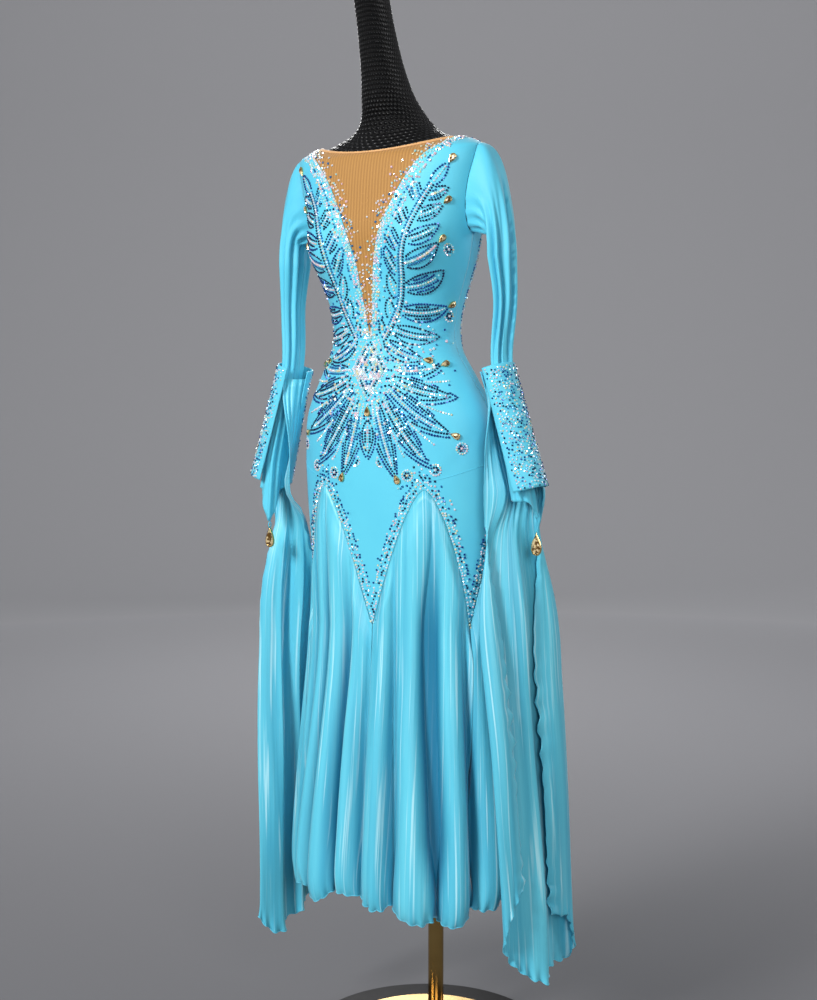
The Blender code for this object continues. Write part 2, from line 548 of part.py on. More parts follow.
# ---------------------------------------------------------------- skirt
def build_godet(number, chiffon):
    """One gathered panel of the skirt, from its arch in the yoke to the hem."""
    pitch = 360 / GODETS
    first = number * pitch
    stops = [v for v, _ in VALLEYS if first <= v < first + pitch] + [first + pitch]
    steps = [a + (b - a) * step for a, b in zip(stops, stops[1:]) for step in FOLD_STEPS]
    edge_columns = [first + 90 / COLUMNS * k for k in range(int(pitch * COLUMNS / 90) + 1)]
    between = [t for t in steps if t in stops or min(abs(t - e) for e in edge_columns) > 2.2]
    turns = np.array(sorted(set(edge_columns) | set(between)))
    turns[0] += math.degrees(SEAM / 2 / 0.12)
    turns[-1] -= math.degrees(SEAM / 2 / 0.12)
    rise = (yoke_edge(turns + 0.5) - yoke_edge(turns - 0.5)) / math.radians(1.0) / 0.19
    top = yoke_edge(turns) - 3.2 * SEAM * np.sqrt(1 + rise**2) - SEAM
    rows = []
    for w in (0.0, 0.08, 0.20, 0.38, 0.58, 0.79, 1.0):
        rows.append(skirt(turns, top + (HEM - top) * w))
    wall("godet_%d" % (number + 1), [np.array(rows)], GODET_CLOTH, chiffon, flip=True)


# ---------------------------------------------------------------- drops at the hand points
def drop(name, x, y, top, gold, sides=10):
    """Tear-shaped stone, narrow at the top: half width and depth follow a quarter wave."""
    mesh_rows = []
    for w in np.linspace(0, 1, 8)[1:-1]:
        radius = math.sin(math.pi * w) * (0.35 + 0.65 * w) * 0.62
        angle = np.linspace(0, 2 * math.pi, sides, endpoint=False)
        mesh_rows.append(np.stack([x + PENDANT["width"] * radius * np.cos(angle),
                                   y + PENDANT["depth"] * radius * np.sin(angle),
                                   np.full(sides, top - PENDANT["height"] * w)], axis=-1))
    points = np.concatenate(mesh_rows)
    faces = [tuple(reversed(f)) for f in grid_faces(len(mesh_rows), sides, wrap=True)]
    faces.append(tuple(range(sides)))
    faces.append(tuple(reversed(range((len(mesh_rows) - 1) * sides, len(mesh_rows) * sides))))
    return object_from(name, points, faces, gold)


def loop(name, x, y, top, length, finish, sides=5, around=14):
    """Upright loop of thin elastic, hanging across the body's side."""
    turns = np.linspace(0, 2 * math.pi, around, endpoint=False)
    ring = np.linspace(0, 2 * math.pi, sides, endpoint=False)
    rows = []
    for a in turns:
        middle = np.array([x, y + 0.0035 * math.sin(a), top - length / 2 + length / 2 * math.cos(a)])
        out = np.array([0, math.sin(a), math.cos(a)])
        rows.append([middle + LOOP_RADIUS * (out * math.cos(b) + np.array([1.0, 0, 0]) * math.sin(b)) for b in ring])
    faces = [(i * sides + j, i * sides + (j + 1) % sides, (i + 1) % around * sides + (j + 1) % sides,
              (i + 1) % around * sides + j) for i in range(around) for j in range(sides)]
    return object_from(name, np.array(rows).reshape(-1, 3), faces, finish)


def build_hand(side, word, jersey, gold):
    """Elastic loop below the sleeve's point, and the stone that hangs from it."""
    length = HAND[word][2]
    tip = sleeve_grid(side, word)[-1]
    lowest = tip[np.argmin(tip[:, 2])]
    x, y = lowest[0], lowest[1]
    top = lowest[2] - SEAM - 0.0002
    loop("hand_loop_" + word, x, y, top - LOOP_RADIUS, length, jersey)
    drop("pendant_" + word, x, y, top - length - 2 * LOOP_RADIUS + 0.14 * PENDANT["height"] - SEAM, gold)


def main():
    clear_scene()
    jersey = material("jersey", AQUA, 0.55)
    chiffon = material("satin_chiffon", SATIN, 0.35)
    nude = material("nude_mesh", NUDE, 0.7)
    black = material("form_black", BLACK, 0.4)
    gloss_black = material("base_black", BLACK, 0.15)
    brass = material("brass", BRASS, 0.22, 1.0)
    gold = material("gold_stone", GOLD, 0.25, 0.6)
    build_stand(gloss_black, brass)
    build_form(black)
    build_bodice(jersey)
    inset("front_inset", FRONT_EDGE, 0, 6, nude)
    inset("back_inset", BACK_EDGE, 180, 12, nude)
    neck_binding("neck_binding_front", FRONT_EDGE, 0, 6, nude)
    neck_binding("neck_binding_back", BACK_EDGE, 180, 12, nude)
    build_arm(1, "left", FLOAT_LEFT, jersey, chiffon)
    build_arm(-1, "right", FLOAT_RIGHT, jersey, chiffon)
    build_hand(1, "left", jersey, gold)
    build_hand(-1, "right", jersey, gold)
    for number in range(GODETS):
        build_godet(number, chiffon)


main()
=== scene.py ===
import math

import bmesh
import bpy
import numpy as np
from mathutils import Matrix, Vector
from mathutils.kdtree import KDTree


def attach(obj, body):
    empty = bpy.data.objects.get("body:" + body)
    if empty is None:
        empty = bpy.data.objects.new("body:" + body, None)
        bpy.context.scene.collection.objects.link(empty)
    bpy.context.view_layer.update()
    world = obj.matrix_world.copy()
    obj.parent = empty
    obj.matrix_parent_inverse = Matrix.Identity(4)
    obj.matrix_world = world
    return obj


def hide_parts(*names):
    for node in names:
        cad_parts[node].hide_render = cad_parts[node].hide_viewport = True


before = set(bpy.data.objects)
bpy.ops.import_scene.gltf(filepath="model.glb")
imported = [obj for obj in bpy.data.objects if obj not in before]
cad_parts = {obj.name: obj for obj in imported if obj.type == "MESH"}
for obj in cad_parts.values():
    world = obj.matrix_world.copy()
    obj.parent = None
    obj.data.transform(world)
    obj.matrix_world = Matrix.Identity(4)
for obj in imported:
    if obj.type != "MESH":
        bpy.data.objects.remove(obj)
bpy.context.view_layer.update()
chance = np.random.default_rng(11)

# Metres, +Z up, the dress faces -Y. A turn of 0 degrees is the centre front, 90 the wearer's left side.
# A station is a height on the body that keeps climbing over the shoulder to the neck.
bodySizes = dict(waistY=-0.098, cloth=0.0012, seam=0.0003, formClear=0.0046, yokeTop=1.06, neckline=1.632,
                 archTop=1.017, pointLow=0.787, godets=6, archRounding=1.6, hipRadius=0.19, shoulderSink=0.6)
armhole = dict(middle=1.510, rise=0.075, turn=17.0)
bust = dict(turn=37.0, spread=21.0, height=1.402, above=0.060, below=0.042, rise=0.021, sideways=0.6)

ringNames = ("station", "height", "width", "middle", "front", "back", "square", "raiseFront", "raiseBack")
# station, height, half width, middle, depth to the front and to the back, squareness, raised front and back
rings = dict(zip(ringNames, np.array([
    (0.780, 0.780, 0.178, 0.048, 0.122, 0.116, 2.20, 0.000, 0.000),
    (0.900, 0.900, 0.187, 0.042, 0.121, 0.117, 2.20, 0.000, 0.000),
    (1.000, 1.000, 0.190, 0.030, 0.114, 0.113, 2.20, 0.000, 0.000),
    (1.070, 1.070, 0.187, 0.019, 0.105, 0.106, 2.20, 0.000, 0.000),
    (1.142, 1.142, 0.177, 0.010, 0.096, 0.097, 2.15, 0.000, 0.000),
    (1.193, 1.193, 0.151, 0.005, 0.088, 0.088, 2.10, 0.000, 0.000),
    (1.218, 1.218, 0.136, 0.002, 0.083, 0.084, 2.10, 0.000, 0.000),
    (1.243, 1.243, 0.122, 0.000, 0.080, 0.081, 2.10, 0.000, 0.000),
    (1.268, 1.268, 0.116, 0.000, 0.079, 0.079, 2.10, 0.000, 0.000),
    (1.294, 1.294, 0.117, 0.000, 0.081, 0.078, 2.10, 0.000, 0.000),
    (1.319, 1.319, 0.122, 0.000, 0.084, 0.079, 2.15, 0.000, 0.000),
    (1.344, 1.344, 0.130, 0.000, 0.088, 0.081, 2.20, 0.000, 0.000),
    (1.394, 1.394, 0.146, -0.002, 0.092, 0.087, 2.30, 0.000, 0.000),
    (1.440, 1.440, 0.155, -0.005, 0.095, 0.092, 2.40, 0.000, 0.000),
    (1.480, 1.480, 0.163, -0.008, 0.090, 0.097, 2.40, 0.000, 0.000),
    (1.520, 1.520, 0.172, -0.011, 0.084, 0.096, 2.45, 0.000, 0.000),
    (1.550, 1.550, 0.178, -0.012, 0.079, 0.089, 2.50, -0.004, 0.000),
    (1.575, 1.571, 0.176, -0.012, 0.076, 0.082, 2.45, -0.014, -0.004),
    (1.600, 1.580, 0.163, -0.008, 0.078, 0.072, 2.25, -0.018, -0.006),
    (1.632, 1.588, 0.143, -0.005, 0.078, 0.063, 2.10, -0.022, -0.008),
    (1.660, 1.598, 0.108, -0.006, 0.069, 0.063, 2.10, -0.018, -0.006),
    (1.685, 1.613, 0.079, 0.000, 0.060, 0.060, 2.20, -0.008, -0.002),
    (1.705, 1.629, 0.064, -0.004, 0.056, 0.056, 2.10, 0.000, 0.000),
    (1.722, 1.645, 0.056, -0.013, 0.054, 0.054, 2.00, 0.000, 0.000),
    (1.740, 1.662, 0.050, -0.023, 0.050, 0.050, 2.00, 0.000, 0.000),
    (1.773, 1.695, 0.043, -0.036, 0.043, 0.043, 2.00, 0.000, 0.000),
    (1.839, 1.761, 0.036, -0.057, 0.036, 0.036, 2.00, 0.000, 0.000),
    (1.904, 1.826, 0.033, -0.075, 0.033, 0.033, 2.00, 0.000, 0.000),
    (1.958, 1.880, 0.029, -0.086, 0.029, 0.029, 2.00, 0.000, 0.000),
    (1.980, 1.901, 0.022, -0.089, 0.022, 0.022, 2.00, 0.000, 0.000),
    (1.988, 1.908, 0.012, -0.090, 0.012, 0.012, 2.00, 0.000, 0.000),
]).T))

# half opening of the two nude panels, in degrees from the centre front or the centre back, by station
frontEdge = [(1.262, 0), (1.296, 2.2), (1.335, 3.8), (1.390, 5.3), (1.435, 8.6), (1.4725, 13.5),
             (1.510, 19.5), (1.5475, 27), (1.575, 35), (1.608, 52), (1.632, 70)]
backEdge = [(1.216, 0), (1.220, 18), (1.236, 40), (1.262, 56), (1.296, 64), (1.335, 68), (1.390, 69),
            (1.435, 66), (1.4725, 60), (1.510, 58), (1.5475, 57), (1.575, 60), (1.608, 68), (1.632, 76)]


def smoothCurve(x, xs, ys):  # cubic through the points, each slope taken from its neighbours
    x, xs, ys = np.asarray(x, float), np.asarray(xs, float), np.asarray(ys, float)
    slope = np.gradient(ys, xs)
    i = np.clip(np.searchsorted(xs, x) - 1, 0, len(xs) - 2)
    step = xs[i + 1] - xs[i]
    w = np.clip((x - xs[i]) / step, 0, 1)
    return (ys[i] * (1 + 2 * w) * (1 - w) ** 2 + slope[i] * step * w * (1 - w) ** 2
            + ys[i + 1] * w**2 * (3 - 2 * w) + slope[i + 1] * step * w**2 * (w - 1))


def column(table, name, x):  # smooth curve through a table's column, against its first column
    return smoothCurve(x, table[next(iter(table))], table[name])


def along(pairs, x):  # smooth curve through pairs of x and y
    xs, ys = zip(*sorted(pairs))
    return smoothCurve(x, xs, ys)


def power(value, exponent):  # power of the size, with the sign kept
    return np.sign(value) * np.abs(value) ** exponent


def ease(x):  # 0 below 0, 1 above 1, and a soft S between
    x = np.clip(x, 0, 1)
    return x * x * (3 - 2 * x)


def unit(vectors):  # each vector divided by its length
    return vectors / np.maximum(np.linalg.norm(vectors, axis=-1, keepdims=True), 1e-9)


def columnOf(steps):  # values down a column, for a grid of rows
    return np.asarray(steps, float)[:, None]


def runAlong(points, axis=0):  # distance covered from the first point to each one
    steps = np.linalg.norm(np.diff(points, axis=axis), axis=-1)
    start = np.zeros_like(steps[:1] if axis == 0 else steps[:, :1])
    return np.cumsum(np.concatenate([start, steps], axis=axis), axis=axis)


def bodyPoint(turn, station, inward=0.0):  # squared ellipses on a leaning axis, and a Gaussian swell a breast
    turn, station = np.broadcast_arrays(np.radians(np.asarray(turn, float)), np.asarray(station, float))
    across, ahead = np.sin(turn), np.cos(turn)
    ring = {name: column(rings, name, station) for name in ringNames[1:]}
    depth = np.where(ahead > 0, ring["front"], ring["back"])
    x = (ring["width"] - inward) * power(across, 2 / ring["square"])
    y = ring["middle"] - (depth - inward) * power(ahead, 2 / ring["square"])
    z = ring["height"] + np.where(ahead > 0, ring["raiseFront"], ring["raiseBack"]) * ahead**2
    side = np.degrees(np.arctan2(np.abs(across), ahead))
    fall = np.where(z > bust["height"], bust["above"], bust["below"])
    offTurn, offHeight = (side - bust["turn"]) / bust["spread"], (z - bust["height"]) / fall
    swell = bust["rise"] * np.exp(-(offTurn**2) - offHeight**2)
    x, y = x + swell * across * bust["sideways"], y - swell * ahead
    z = z - inward * bodySizes["shoulderSink"] * (station > armhole["middle"])
    return np.stack([x, y + bodySizes["waistY"], z], axis=-1)


def yokeEdge(turn):  # height of the yoke's edge: a point every 60 degrees, a round arch between two points
    pitch = 360 / bodySizes["godets"]
    fromPoint = np.abs((np.asarray(turn, float) + pitch / 2) % pitch - pitch / 2)
    climb = 1 - (1 - fromPoint / (pitch / 2)) ** bodySizes["archRounding"]
    return bodySizes["pointLow"] + (bodySizes["archTop"] - bodySizes["pointLow"]) * climb


def armholeTurn(station):  # half width of the armhole's ellipse, in degrees
    fromMiddle = (station - armhole["middle"]) / armhole["rise"]
    return armhole["turn"] * np.sqrt(np.clip(1 - fromMiddle**2, 0, 1))


def unturned(turn):  # the same turn, from -180 to 180 degrees
    return (np.asarray(turn, float) + 180) % 360 - 180


def gridFaces(rows, cols):  # the four corners of every cell between rows and columns
    i, j = np.meshgrid(np.arange(rows - 1), np.arange(cols - 1), indexing="ij")
    first, below = i * cols + j, (i + 1) * cols + j
    return np.stack([first, first + 1, below + 1, below], axis=-1).reshape(-1, 4)


def pieceFrom(name, points, faces, finish, uv=None, smooth=True, mergeBelow=None, slots=None, foldShade=None):
    # an object at the origin: uv is a point's flat place, slots a face's finish, foldShade how deep in a fold
    # a point lies, the mask of painted shade
    mesh = bpy.data.meshes.new(name)
    mesh.from_pydata(points, [], faces)
    for one in finish if isinstance(finish, list) else [finish]:
        mesh.materials.append(one)
    if uv is not None:
        corner = np.empty(len(mesh.loops), dtype=np.int32)
        mesh.loops.foreach_get("vertex_index", corner)
        layer = mesh.uv_layers.new(name="cut")
        layer.uv.foreach_set("vector", np.asarray(uv, float)[corner].ravel())
    if foldShade is not None:
        shade = mesh.attributes.new("foldShade", "FLOAT", "POINT")
        shade.data.foreach_set("value", np.asarray(foldShade, np.float32))
    if slots is not None:
        mesh.polygons.foreach_set("material_index", np.asarray(slots, dtype=np.int32))
    if mergeBelow:
        merged = bmesh.new()
        merged.from_mesh(mesh)
        bmesh.ops.remove_doubles(merged, verts=merged.verts, dist=mergeBelow)
        merged.to_mesh(mesh)
        merged.free()
    mesh.polygons.foreach_set("use_smooth", np.full(len(mesh.polygons), smooth))
    mesh.update()
    made = bpy.data.objects.new(name, mesh)
    bpy.context.scene.collection.objects.link(made)
    return made


def clothPiece(name, grids, finish, thickness, flip=False, foldShade=None):
    # grids of points with their flat places, joined where they meet, and a wall on their inner side
    points, uvs, faces, start = [], [], [], 0
    for grid, uv in grids:
        rows, cols = grid.shape[:2]
        quads = gridFaces(rows, cols) + start
        faces.append(quads[:, ::-1] if flip else quads)
        points.append(grid.reshape(-1, 3))
        uvs.append(uv.reshape(-1, 2))
        start += rows * cols
    points, faces, uvs = (np.concatenate(parts) for parts in (points, faces, uvs))
    made = pieceFrom(name, points, faces.tolist(), finish, uvs, mergeBelow=1e-5,
                     foldShade=None if foldShade is None else foldShade.ravel())
    if thickness:
        wall = made.modifiers.new("cloth", "SOLIDIFY")
        wall.thickness, wall.offset = thickness, -1
    return made


def sweptTube(name, path, radius, finish, sides, closed=False):  # a circle carried along a path
    if closed:
        heading = unit(np.roll(path, -1, axis=0) - np.roll(path, 1, axis=0))
    else:
        heading = unit(np.gradient(path, axis=0))
    lift = np.where(np.abs(heading[:, 2:]) > 0.9, np.array([[1.0, 0, 0]]), np.array([[0, 0, 1.0]]))
    sideways = unit(np.cross(heading, lift))
    upward = np.cross(sideways, heading)
    angle = np.linspace(0, 2 * math.pi, sides, endpoint=False)[None, :, None]
    rim = path[:, None] + radius * (sideways[:, None] * np.cos(angle) + upward[:, None] * np.sin(angle))
    count = len(path)
    i, j = np.meshgrid(np.arange(count if closed else count - 1), np.arange(sides), indexing="ij")
    k, n = (j + 1) % sides, (i + 1) % count
    corners = np.stack([i * sides + j, i * sides + k, n * sides + k, n * sides + j], axis=-1)
    faces = corners.reshape(-1, 4)[:, ::-1].tolist()
    if not closed:
        faces += [list(range(sides)), list(range((count - 1) * sides, count * sides))[::-1]]
    return pieceFrom(name, rim.reshape(-1, 3), faces, finish)


def hang(made, replaced=None):  # puts a piece on the one body, and hides the node it stands for
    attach(made, "root")
    if replaced:
        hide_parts(replaced)
    return made


def creases(u, v, table, scale):  # sum of soft ridges (+) and troughs (-) along straight lines
    total = np.zeros(np.broadcast(u, v).shape)
    for u0, v0, u1, v1, width, depth in table:
        du, dv = (u1 - u0) * scale[0], (v1 - v0) * scale[1]
        pu, pv = (u - u0) * scale[0], (v - v0) * scale[1]
        t = (pu * du + pv * dv) / (du * du + dv * dv)
        nearest = np.clip(t, 0, 1)
        off = np.hypot(pu - nearest * du, pv - nearest * dv)
        ends = np.clip(1.0 - 0.5 * np.abs(2 * t - 1), 0.25, 1)
        total = total + depth * np.exp(-((off / width) ** 2)) * ends
    return total


def mathNode(operation, swapped=False):  # a method that adds one Math node
    def method(self, other=0.0):
        first, second = (other, self) if swapped else (self, other)
        return self.finish.node("ShaderNodeMath", {"operation": operation}, {0: first, 1: second})
    return method


class Value:  # a shader socket in an expression: its operators add Math nodes
    __add__, __radd__ = mathNode("ADD"), mathNode("ADD", True)
    __sub__, __rsub__ = mathNode("SUBTRACT"), mathNode("SUBTRACT", True)
    __mul__, __rmul__ = mathNode("MULTIPLY"), mathNode("MULTIPLY", True)
    __pow__, atMost, atLeast = mathNode("POWER"), mathNode("MINIMUM"), mathNode("MAXIMUM")
    sine, fraction, floor = mathNode("SINE"), mathNode("FRACT"), mathNode("FLOOR")

    def __init__(self, finish, socket):
        self.finish, self.socket = finish, socket


class Finish:  # one material on its own node tree
    def __init__(self, name, colour, roughness, **fixed):
        self.material = bpy.data.materials.new(name)
        self.material.use_nodes = True
        self.tree = self.material.node_tree
        self.shader = self.tree.nodes["Principled BSDF"]
        self.shader.inputs["Base Color"].default_value = (*colour, 1.0)
        self.shader.inputs["Roughness"].default_value = roughness
        self.material.diffuse_color = (*colour, 1.0)
        for socket, value in fixed.items():
            self.shader.inputs[socket.replace("_", " ")].default_value = value

    def node(self, kind, settings, sockets, out=0):  # any node, from its type, settings and sockets
        made = self.tree.nodes.new(kind)
        for name, value in settings.items():
            if name == "stops":
                for (place, colour), stop in zip(value, made.color_ramp.elements):
                    stop.position, stop.color = place, (*colour, 1.0)
            else:
                setattr(made, name, value)
        for key, value in sockets.items():
            if isinstance(value, Value):
                self.tree.links.new(value.socket, made.inputs[key])
            else:
                made.inputs[key].default_value = value
        return Value(self, made.outputs[out])

    def place(self, stretch=(1, 1, 1), flat=False):  # object coordinates or the cloth's flat place, stretched
        if flat:
            spot = self.node("ShaderNodeUVMap", {"uv_map": "cut"}, {})
        else:
            spot = self.node("ShaderNodeTexCoord", {}, {}, "Object")
        return self.node("ShaderNodeMapping", {}, {"Vector": spot, "Scale": stretch})

    def noise(self, scale, detail=2.0, stretch=(1, 1, 1), flat=False):
        sockets = {"Vector": self.place(stretch, flat), "Scale": scale, "Detail": detail}
        return self.node("ShaderNodeTexNoise", {}, sockets)

    def coordinate(self, axis, flat=False):  # 0 across, 1 up or along
        return self.node("ShaderNodeSeparateXYZ", {}, {0: self.place(flat=flat)}, axis)

    def foldShade(self):  # how deep in a fold a point lies, 0 to 1, the mask of painted shade
        return self.node("ShaderNodeAttribute", {"attribute_name": "foldShade"}, {}, "Fac")

    def ramp(self, value, low, high, most=1.0):  # 0 up to the low place, and the most from the high place on
        stops = [(low, (0, 0, 0)), (high, (most, most, most))]
        return self.node("ShaderNodeValToRGB", {"stops": stops}, {0: value})

    def mix(self, share, first, second):
        first, second = (one if isinstance(one, Value) else (*one, 1.0) for one in (first, second))
        return self.node("ShaderNodeMix", {"data_type": "RGBA"}, {0: share, 6: first, 7: second}, 2)

    def feed(self, **sockets):
        for name, value in sockets.items():
            self.tree.links.new(value.socket, self.shader.inputs[name.replace("_", " ")])

    def bump(self, height, strength, distance, under=None):
        sockets = {"Strength": strength, "Distance": distance, "Height": height}
        if under is not None:
            sockets["Normal"] = under
        return self.node("ShaderNodeBump", {}, sockets)


# linear colours; aquaShade and satinShade are painted shade in folds, satinGlint a painted highlight,
# satinDeep the darker side of the painted sheen, and amber with amberDeep the pale and dark patches of a cut
# stone's painted light and shade
colours = dict(
    aqua=(0.108, 0.580, 0.752), aquaDeep=(0.070, 0.480, 0.690), aquaShade=(0.015, 0.280, 0.460),
    satin=(0.135, 0.630, 0.790), satinDeep=(0.070, 0.460, 0.640), satinGlint=(0.520, 0.880, 0.950),
    satinShade=(0.001, 0.150, 0.290), nude=(0.440, 0.222, 0.056), nudeDeep=(0.350, 0.168, 0.040),
    binding=(0.66, 0.36, 0.14), form=(0.005, 0.005, 0.006), formGap=(0.001, 0.001, 0.001),
    gloss=(0.003, 0.003, 0.004), brass=(0.54, 0.36, 0.13), brassDeep=(0.34, 0.21, 0.065),
    crystal=(0.880, 0.910, 0.960), rose=(0.930, 0.660, 0.740), ice=(0.520, 0.880, 0.860),
    straw=(0.930, 0.820, 0.540), sapphire=(0.012, 0.060, 0.330), navy=(0.010, 0.022, 0.110),
    azure=(0.030, 0.240, 0.560), amber=(0.800, 0.620, 0.330), amberDeep=(0.130, 0.065, 0.012),
    gold=(0.900, 0.640, 0.260), paper=(0.252, 0.252, 0.264), paperNear=(0.160, 0.160, 0.169))


def makeJersey():  # soft clouds of a deeper tone, painted shade in the folds' hollows and a fine knit
    jersey = Finish("jersey", colours["aqua"], 0.52, Sheen_Weight=0.25, Sheen_Roughness=0.4,
                    Specular_IOR_Level=0.35)
    cloud, knit = jersey.noise(9.0, 3.0), jersey.noise(1700.0, 1.0, (1, 1, 0.45))
    tone = jersey.mix(jersey.ramp(cloud, 0.30, 0.75, 0.55), colours["aqua"], colours["aquaDeep"])
    # painted shade: the base colour darkens towards aquaShade deep in the folds
    jersey.feed(Base_Color=jersey.mix(jersey.foldShade() * 0.7, tone, colours["aquaShade"]),
                Normal=jersey.bump(knit, 0.16, 0.0006), Roughness=0.46 + cloud * 0.12)
    return jersey.material


def makeSatin():  # painted sheen: lighter and darker streaks that follow the cloth's own length, as satin's sheen turns with its threads, painted glints on the thin streaks, and painted shade in the folds' hollows
    satin = Finish("satinChiffon", colours["satin"], 0.34, Sheen_Weight=0.2, Sheen_Roughness=0.35,
                   Specular_IOR_Level=0.55)
    wide = satin.noise(36.0, 3.0, (1, 0.05, 1), flat=True)
    thin = satin.noise(150.0, 2.0, (1, 0.022, 1), flat=True)
    weave = satin.noise(1300.0, 1.0)
    # painted sheen: the wide streaks pass between satinDeep and satin
    tone = satin.mix(satin.ramp(wide, 0.32, 0.68), colours["satinDeep"], colours["satin"])
    # painted highlight: glints of satinGlint along the thin streaks
    tone = satin.mix(satin.ramp(thin, 0.57, 0.68, 0.70), tone, colours["satinGlint"])
    # painted shade: darker towards satinShade deep in the folds
    satin.feed(Base_Color=satin.mix(satin.foldShade() * 0.9, tone, colours["satinShade"]),
               Normal=satin.bump(weave, 0.08, 0.0004, satin.bump(thin, 0.30, 0.0024)),
               Roughness=0.32 + thin * 0.16)
    return satin.material


def makeNude():  # upright ribs, dappled, on a fine mesh
    nude = Finish("nudeMesh", colours["nude"], 0.62, Sheen_Weight=0.3, Sheen_Roughness=0.5,
                  Specular_IOR_Level=0.25)
    ribWidth = 0.0058
    rib = (nude.coordinate(0, flat=True) * (2 * math.pi / ribWidth)).sine() * 0.5 + 0.5
    dapple = nude.noise(240.0)
    mesh = nude.bump(nude.noise(1500.0, 1.0), 0.15, 0.0005)
    nude.feed(Base_Color=nude.mix(nude.ramp(rib * 0.8 + dapple * 0.25, 0.15, 0.85), colours["nudeDeep"],
                                  colours["nude"]), Normal=nude.bump(rib, 0.35, 0.0010, mesh))
    return nude.material


def makeBinding():
    binding = Finish("nudeBinding", colours["binding"], 0.5, Sheen_Weight=0.3, Specular_IOR_Level=0.3)
    binding.feed(Normal=binding.bump(binding.noise(900.0, 1.0), 0.2, 0.0005))
    return binding.material


def makeWovenBlack():  # glazed weave: rows of small raised lozenges, each row shifted by half a lozenge
    form = Finish("wovenBlack", colours["form"], 0.42, Specular_IOR_Level=0.20)
    across, up = form.coordinate(0, flat=True), form.coordinate(1, flat=True)
    rowsPerMetre, lozengesRound = 140.0, 48.0
    rows = up * rowsPerMetre
    shift = (rows.floor() * 0.5).fraction()
    inRow, inColumn = rows.fraction() - 0.5, (across * lozengesRound + shift).fraction() - 0.5
    lozenge = (1.0 - ((inRow * inRow) * 3.2 + (inColumn * inColumn) * 3.6)).atLeast(0.0)
    raised = lozenge ** 1.6
    form.feed(Base_Color=form.mix(raised, colours["formGap"], colours["form"]),
              Roughness=0.62 - raised * 0.46, Normal=form.bump(raised, 1.0, 0.0022))
    return form.material


def makeGlossBlack():  # lacquer with faint wear
    gloss = Finish("glossBlack", colours["gloss"], 0.3, IOR=1.12, Specular_IOR_Level=0.3)
    wear, waves = gloss.noise(60.0, 4.0), gloss.noise(14.0)
    gloss.feed(Roughness=0.26 + wear * 0.14, Normal=gloss.bump(waves, 0.05, 0.001))
    return gloss.material


def makeBrass():  # cloudy tone and lines brushed along the pole
    brass = Finish("brushedBrass", colours["brass"], 0.2, Metallic=1.0)
    line = brass.noise(900.0, 2.0, (1, 1, 0.02))
    brass.feed(Base_Color=brass.mix(brass.noise(18.0, 3.0), colours["brassDeep"], colours["brass"]),
               Roughness=0.14 + line * 0.16)
    return brass.material


def makeAmber():  # painted light and shade: pale and dark patches that stand for the light a cut stone shows through its far facets
    amber = Finish("amberGlass", colours["amber"], 0.05, Metallic=0.25, Coat_Weight=1.0, Coat_Roughness=0.03)
    # painted light and shade of the facets, between amberDeep and amber
    facetLightAndShade = amber.ramp(amber.noise(210.0, 1.0), 0.44, 0.58)
    amber.feed(Base_Color=amber.mix(facetLightAndShade, colours["amberDeep"], colours["amber"]))
    return amber.material


def makeStones(names, metallic):  # one foiled glass finish for each colour
    return [Finish("stone" + name.capitalize(), colours[name], 0.08, Metallic=metallic, Coat_Weight=1.0,
                   Coat_Roughness=0.03).material for name in names]


jersey, satin, nude, binding = makeJersey(), makeSatin(), makeNude(), makeBinding()
wovenBlack, glossBlack, brass = makeWovenBlack(), makeGlossBlack(), makeBrass()
paleStones = makeStones(("crystal", "rose", "ice", "straw"), 0.3)
blueStones = makeStones(("sapphire", "navy", "azure"), 0.55)
amberGlass = makeAmber()
goldMetal = Finish("goldMetal", colours["gold"], 0.22, Metallic=1.0).material
print("materials made")

stand = dict(poleRadius=0.014, poleY=0.028, footHeight=0.80, socketDepth=0.10, sides=96, footRounding=0.012)


def buildForm():
    # one profile turned round the body: from inside the socket, round the foot and up to the neck's tip
    foot, socket, rounding, inside = (stand["footHeight"], stand["socketDepth"], stand["footRounding"],
                                      bodySizes["formClear"])
    angles = np.linspace(0, 360, stand["sides"] + 1)
    radians = np.radians(angles)
    socketRadius = stand["poleRadius"] + bodySizes["seam"]
    rim = np.stack([socketRadius * np.sin(radians), stand["poleY"] - socketRadius * np.cos(radians),
                    np.zeros_like(radians)], axis=-1)
    centre = np.array([0.0, stand["poleY"], 0.0])
    rows = [(centre + (rim - centre) * share) + [0, 0, foot + socket] for share in (0.0, 1.0)]
    rows += [rim + [0, 0, foot + socket * share] for share in (0.5, 0.0)]
    footEdge = bodyPoint(angles, foot, inside)
    rows += [(rim + [0, 0, foot]) * (1 - share) + footEdge * share for share in (0.3, 0.65)]
    for bend in np.radians(np.linspace(0, 90, 7)):
        level = foot + rounding * (1 - math.cos(bend))
        ring = bodyPoint(angles, level, inside + rounding * (1 - math.sin(bend)))
        ring[:, 2] = level
        rows.append(ring)
    stations = np.concatenate([np.linspace(0.820, 1.56, 40), np.linspace(1.566, 1.72, 40),
                               np.linspace(1.73, 1.958, 40), np.linspace(1.961, 1.988, 12)])
    rows += list(bodyPoint(angles[None], columnOf(stations), inside))
    last = rows[-1]
    middle = last.mean(axis=0)
    for share, lift in ((0.6, 0.0012), (0.0, 0.0018)):
        rows.append(middle + (last - middle) * share + [0, 0, lift])
    grid = np.array(rows)
    uv = np.stack(np.broadcast_arrays(angles[None] / 360, columnOf(runAlong(grid[:, 0]))), axis=-1)
    hang(clothPiece("formTorso", [(grid, uv)], wovenBlack, 0), "form_torso")


def dressNode(name, finish):  # a part whose shape is right keeps it and takes a better finish
    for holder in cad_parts[name].material_slots:
        holder.material = finish


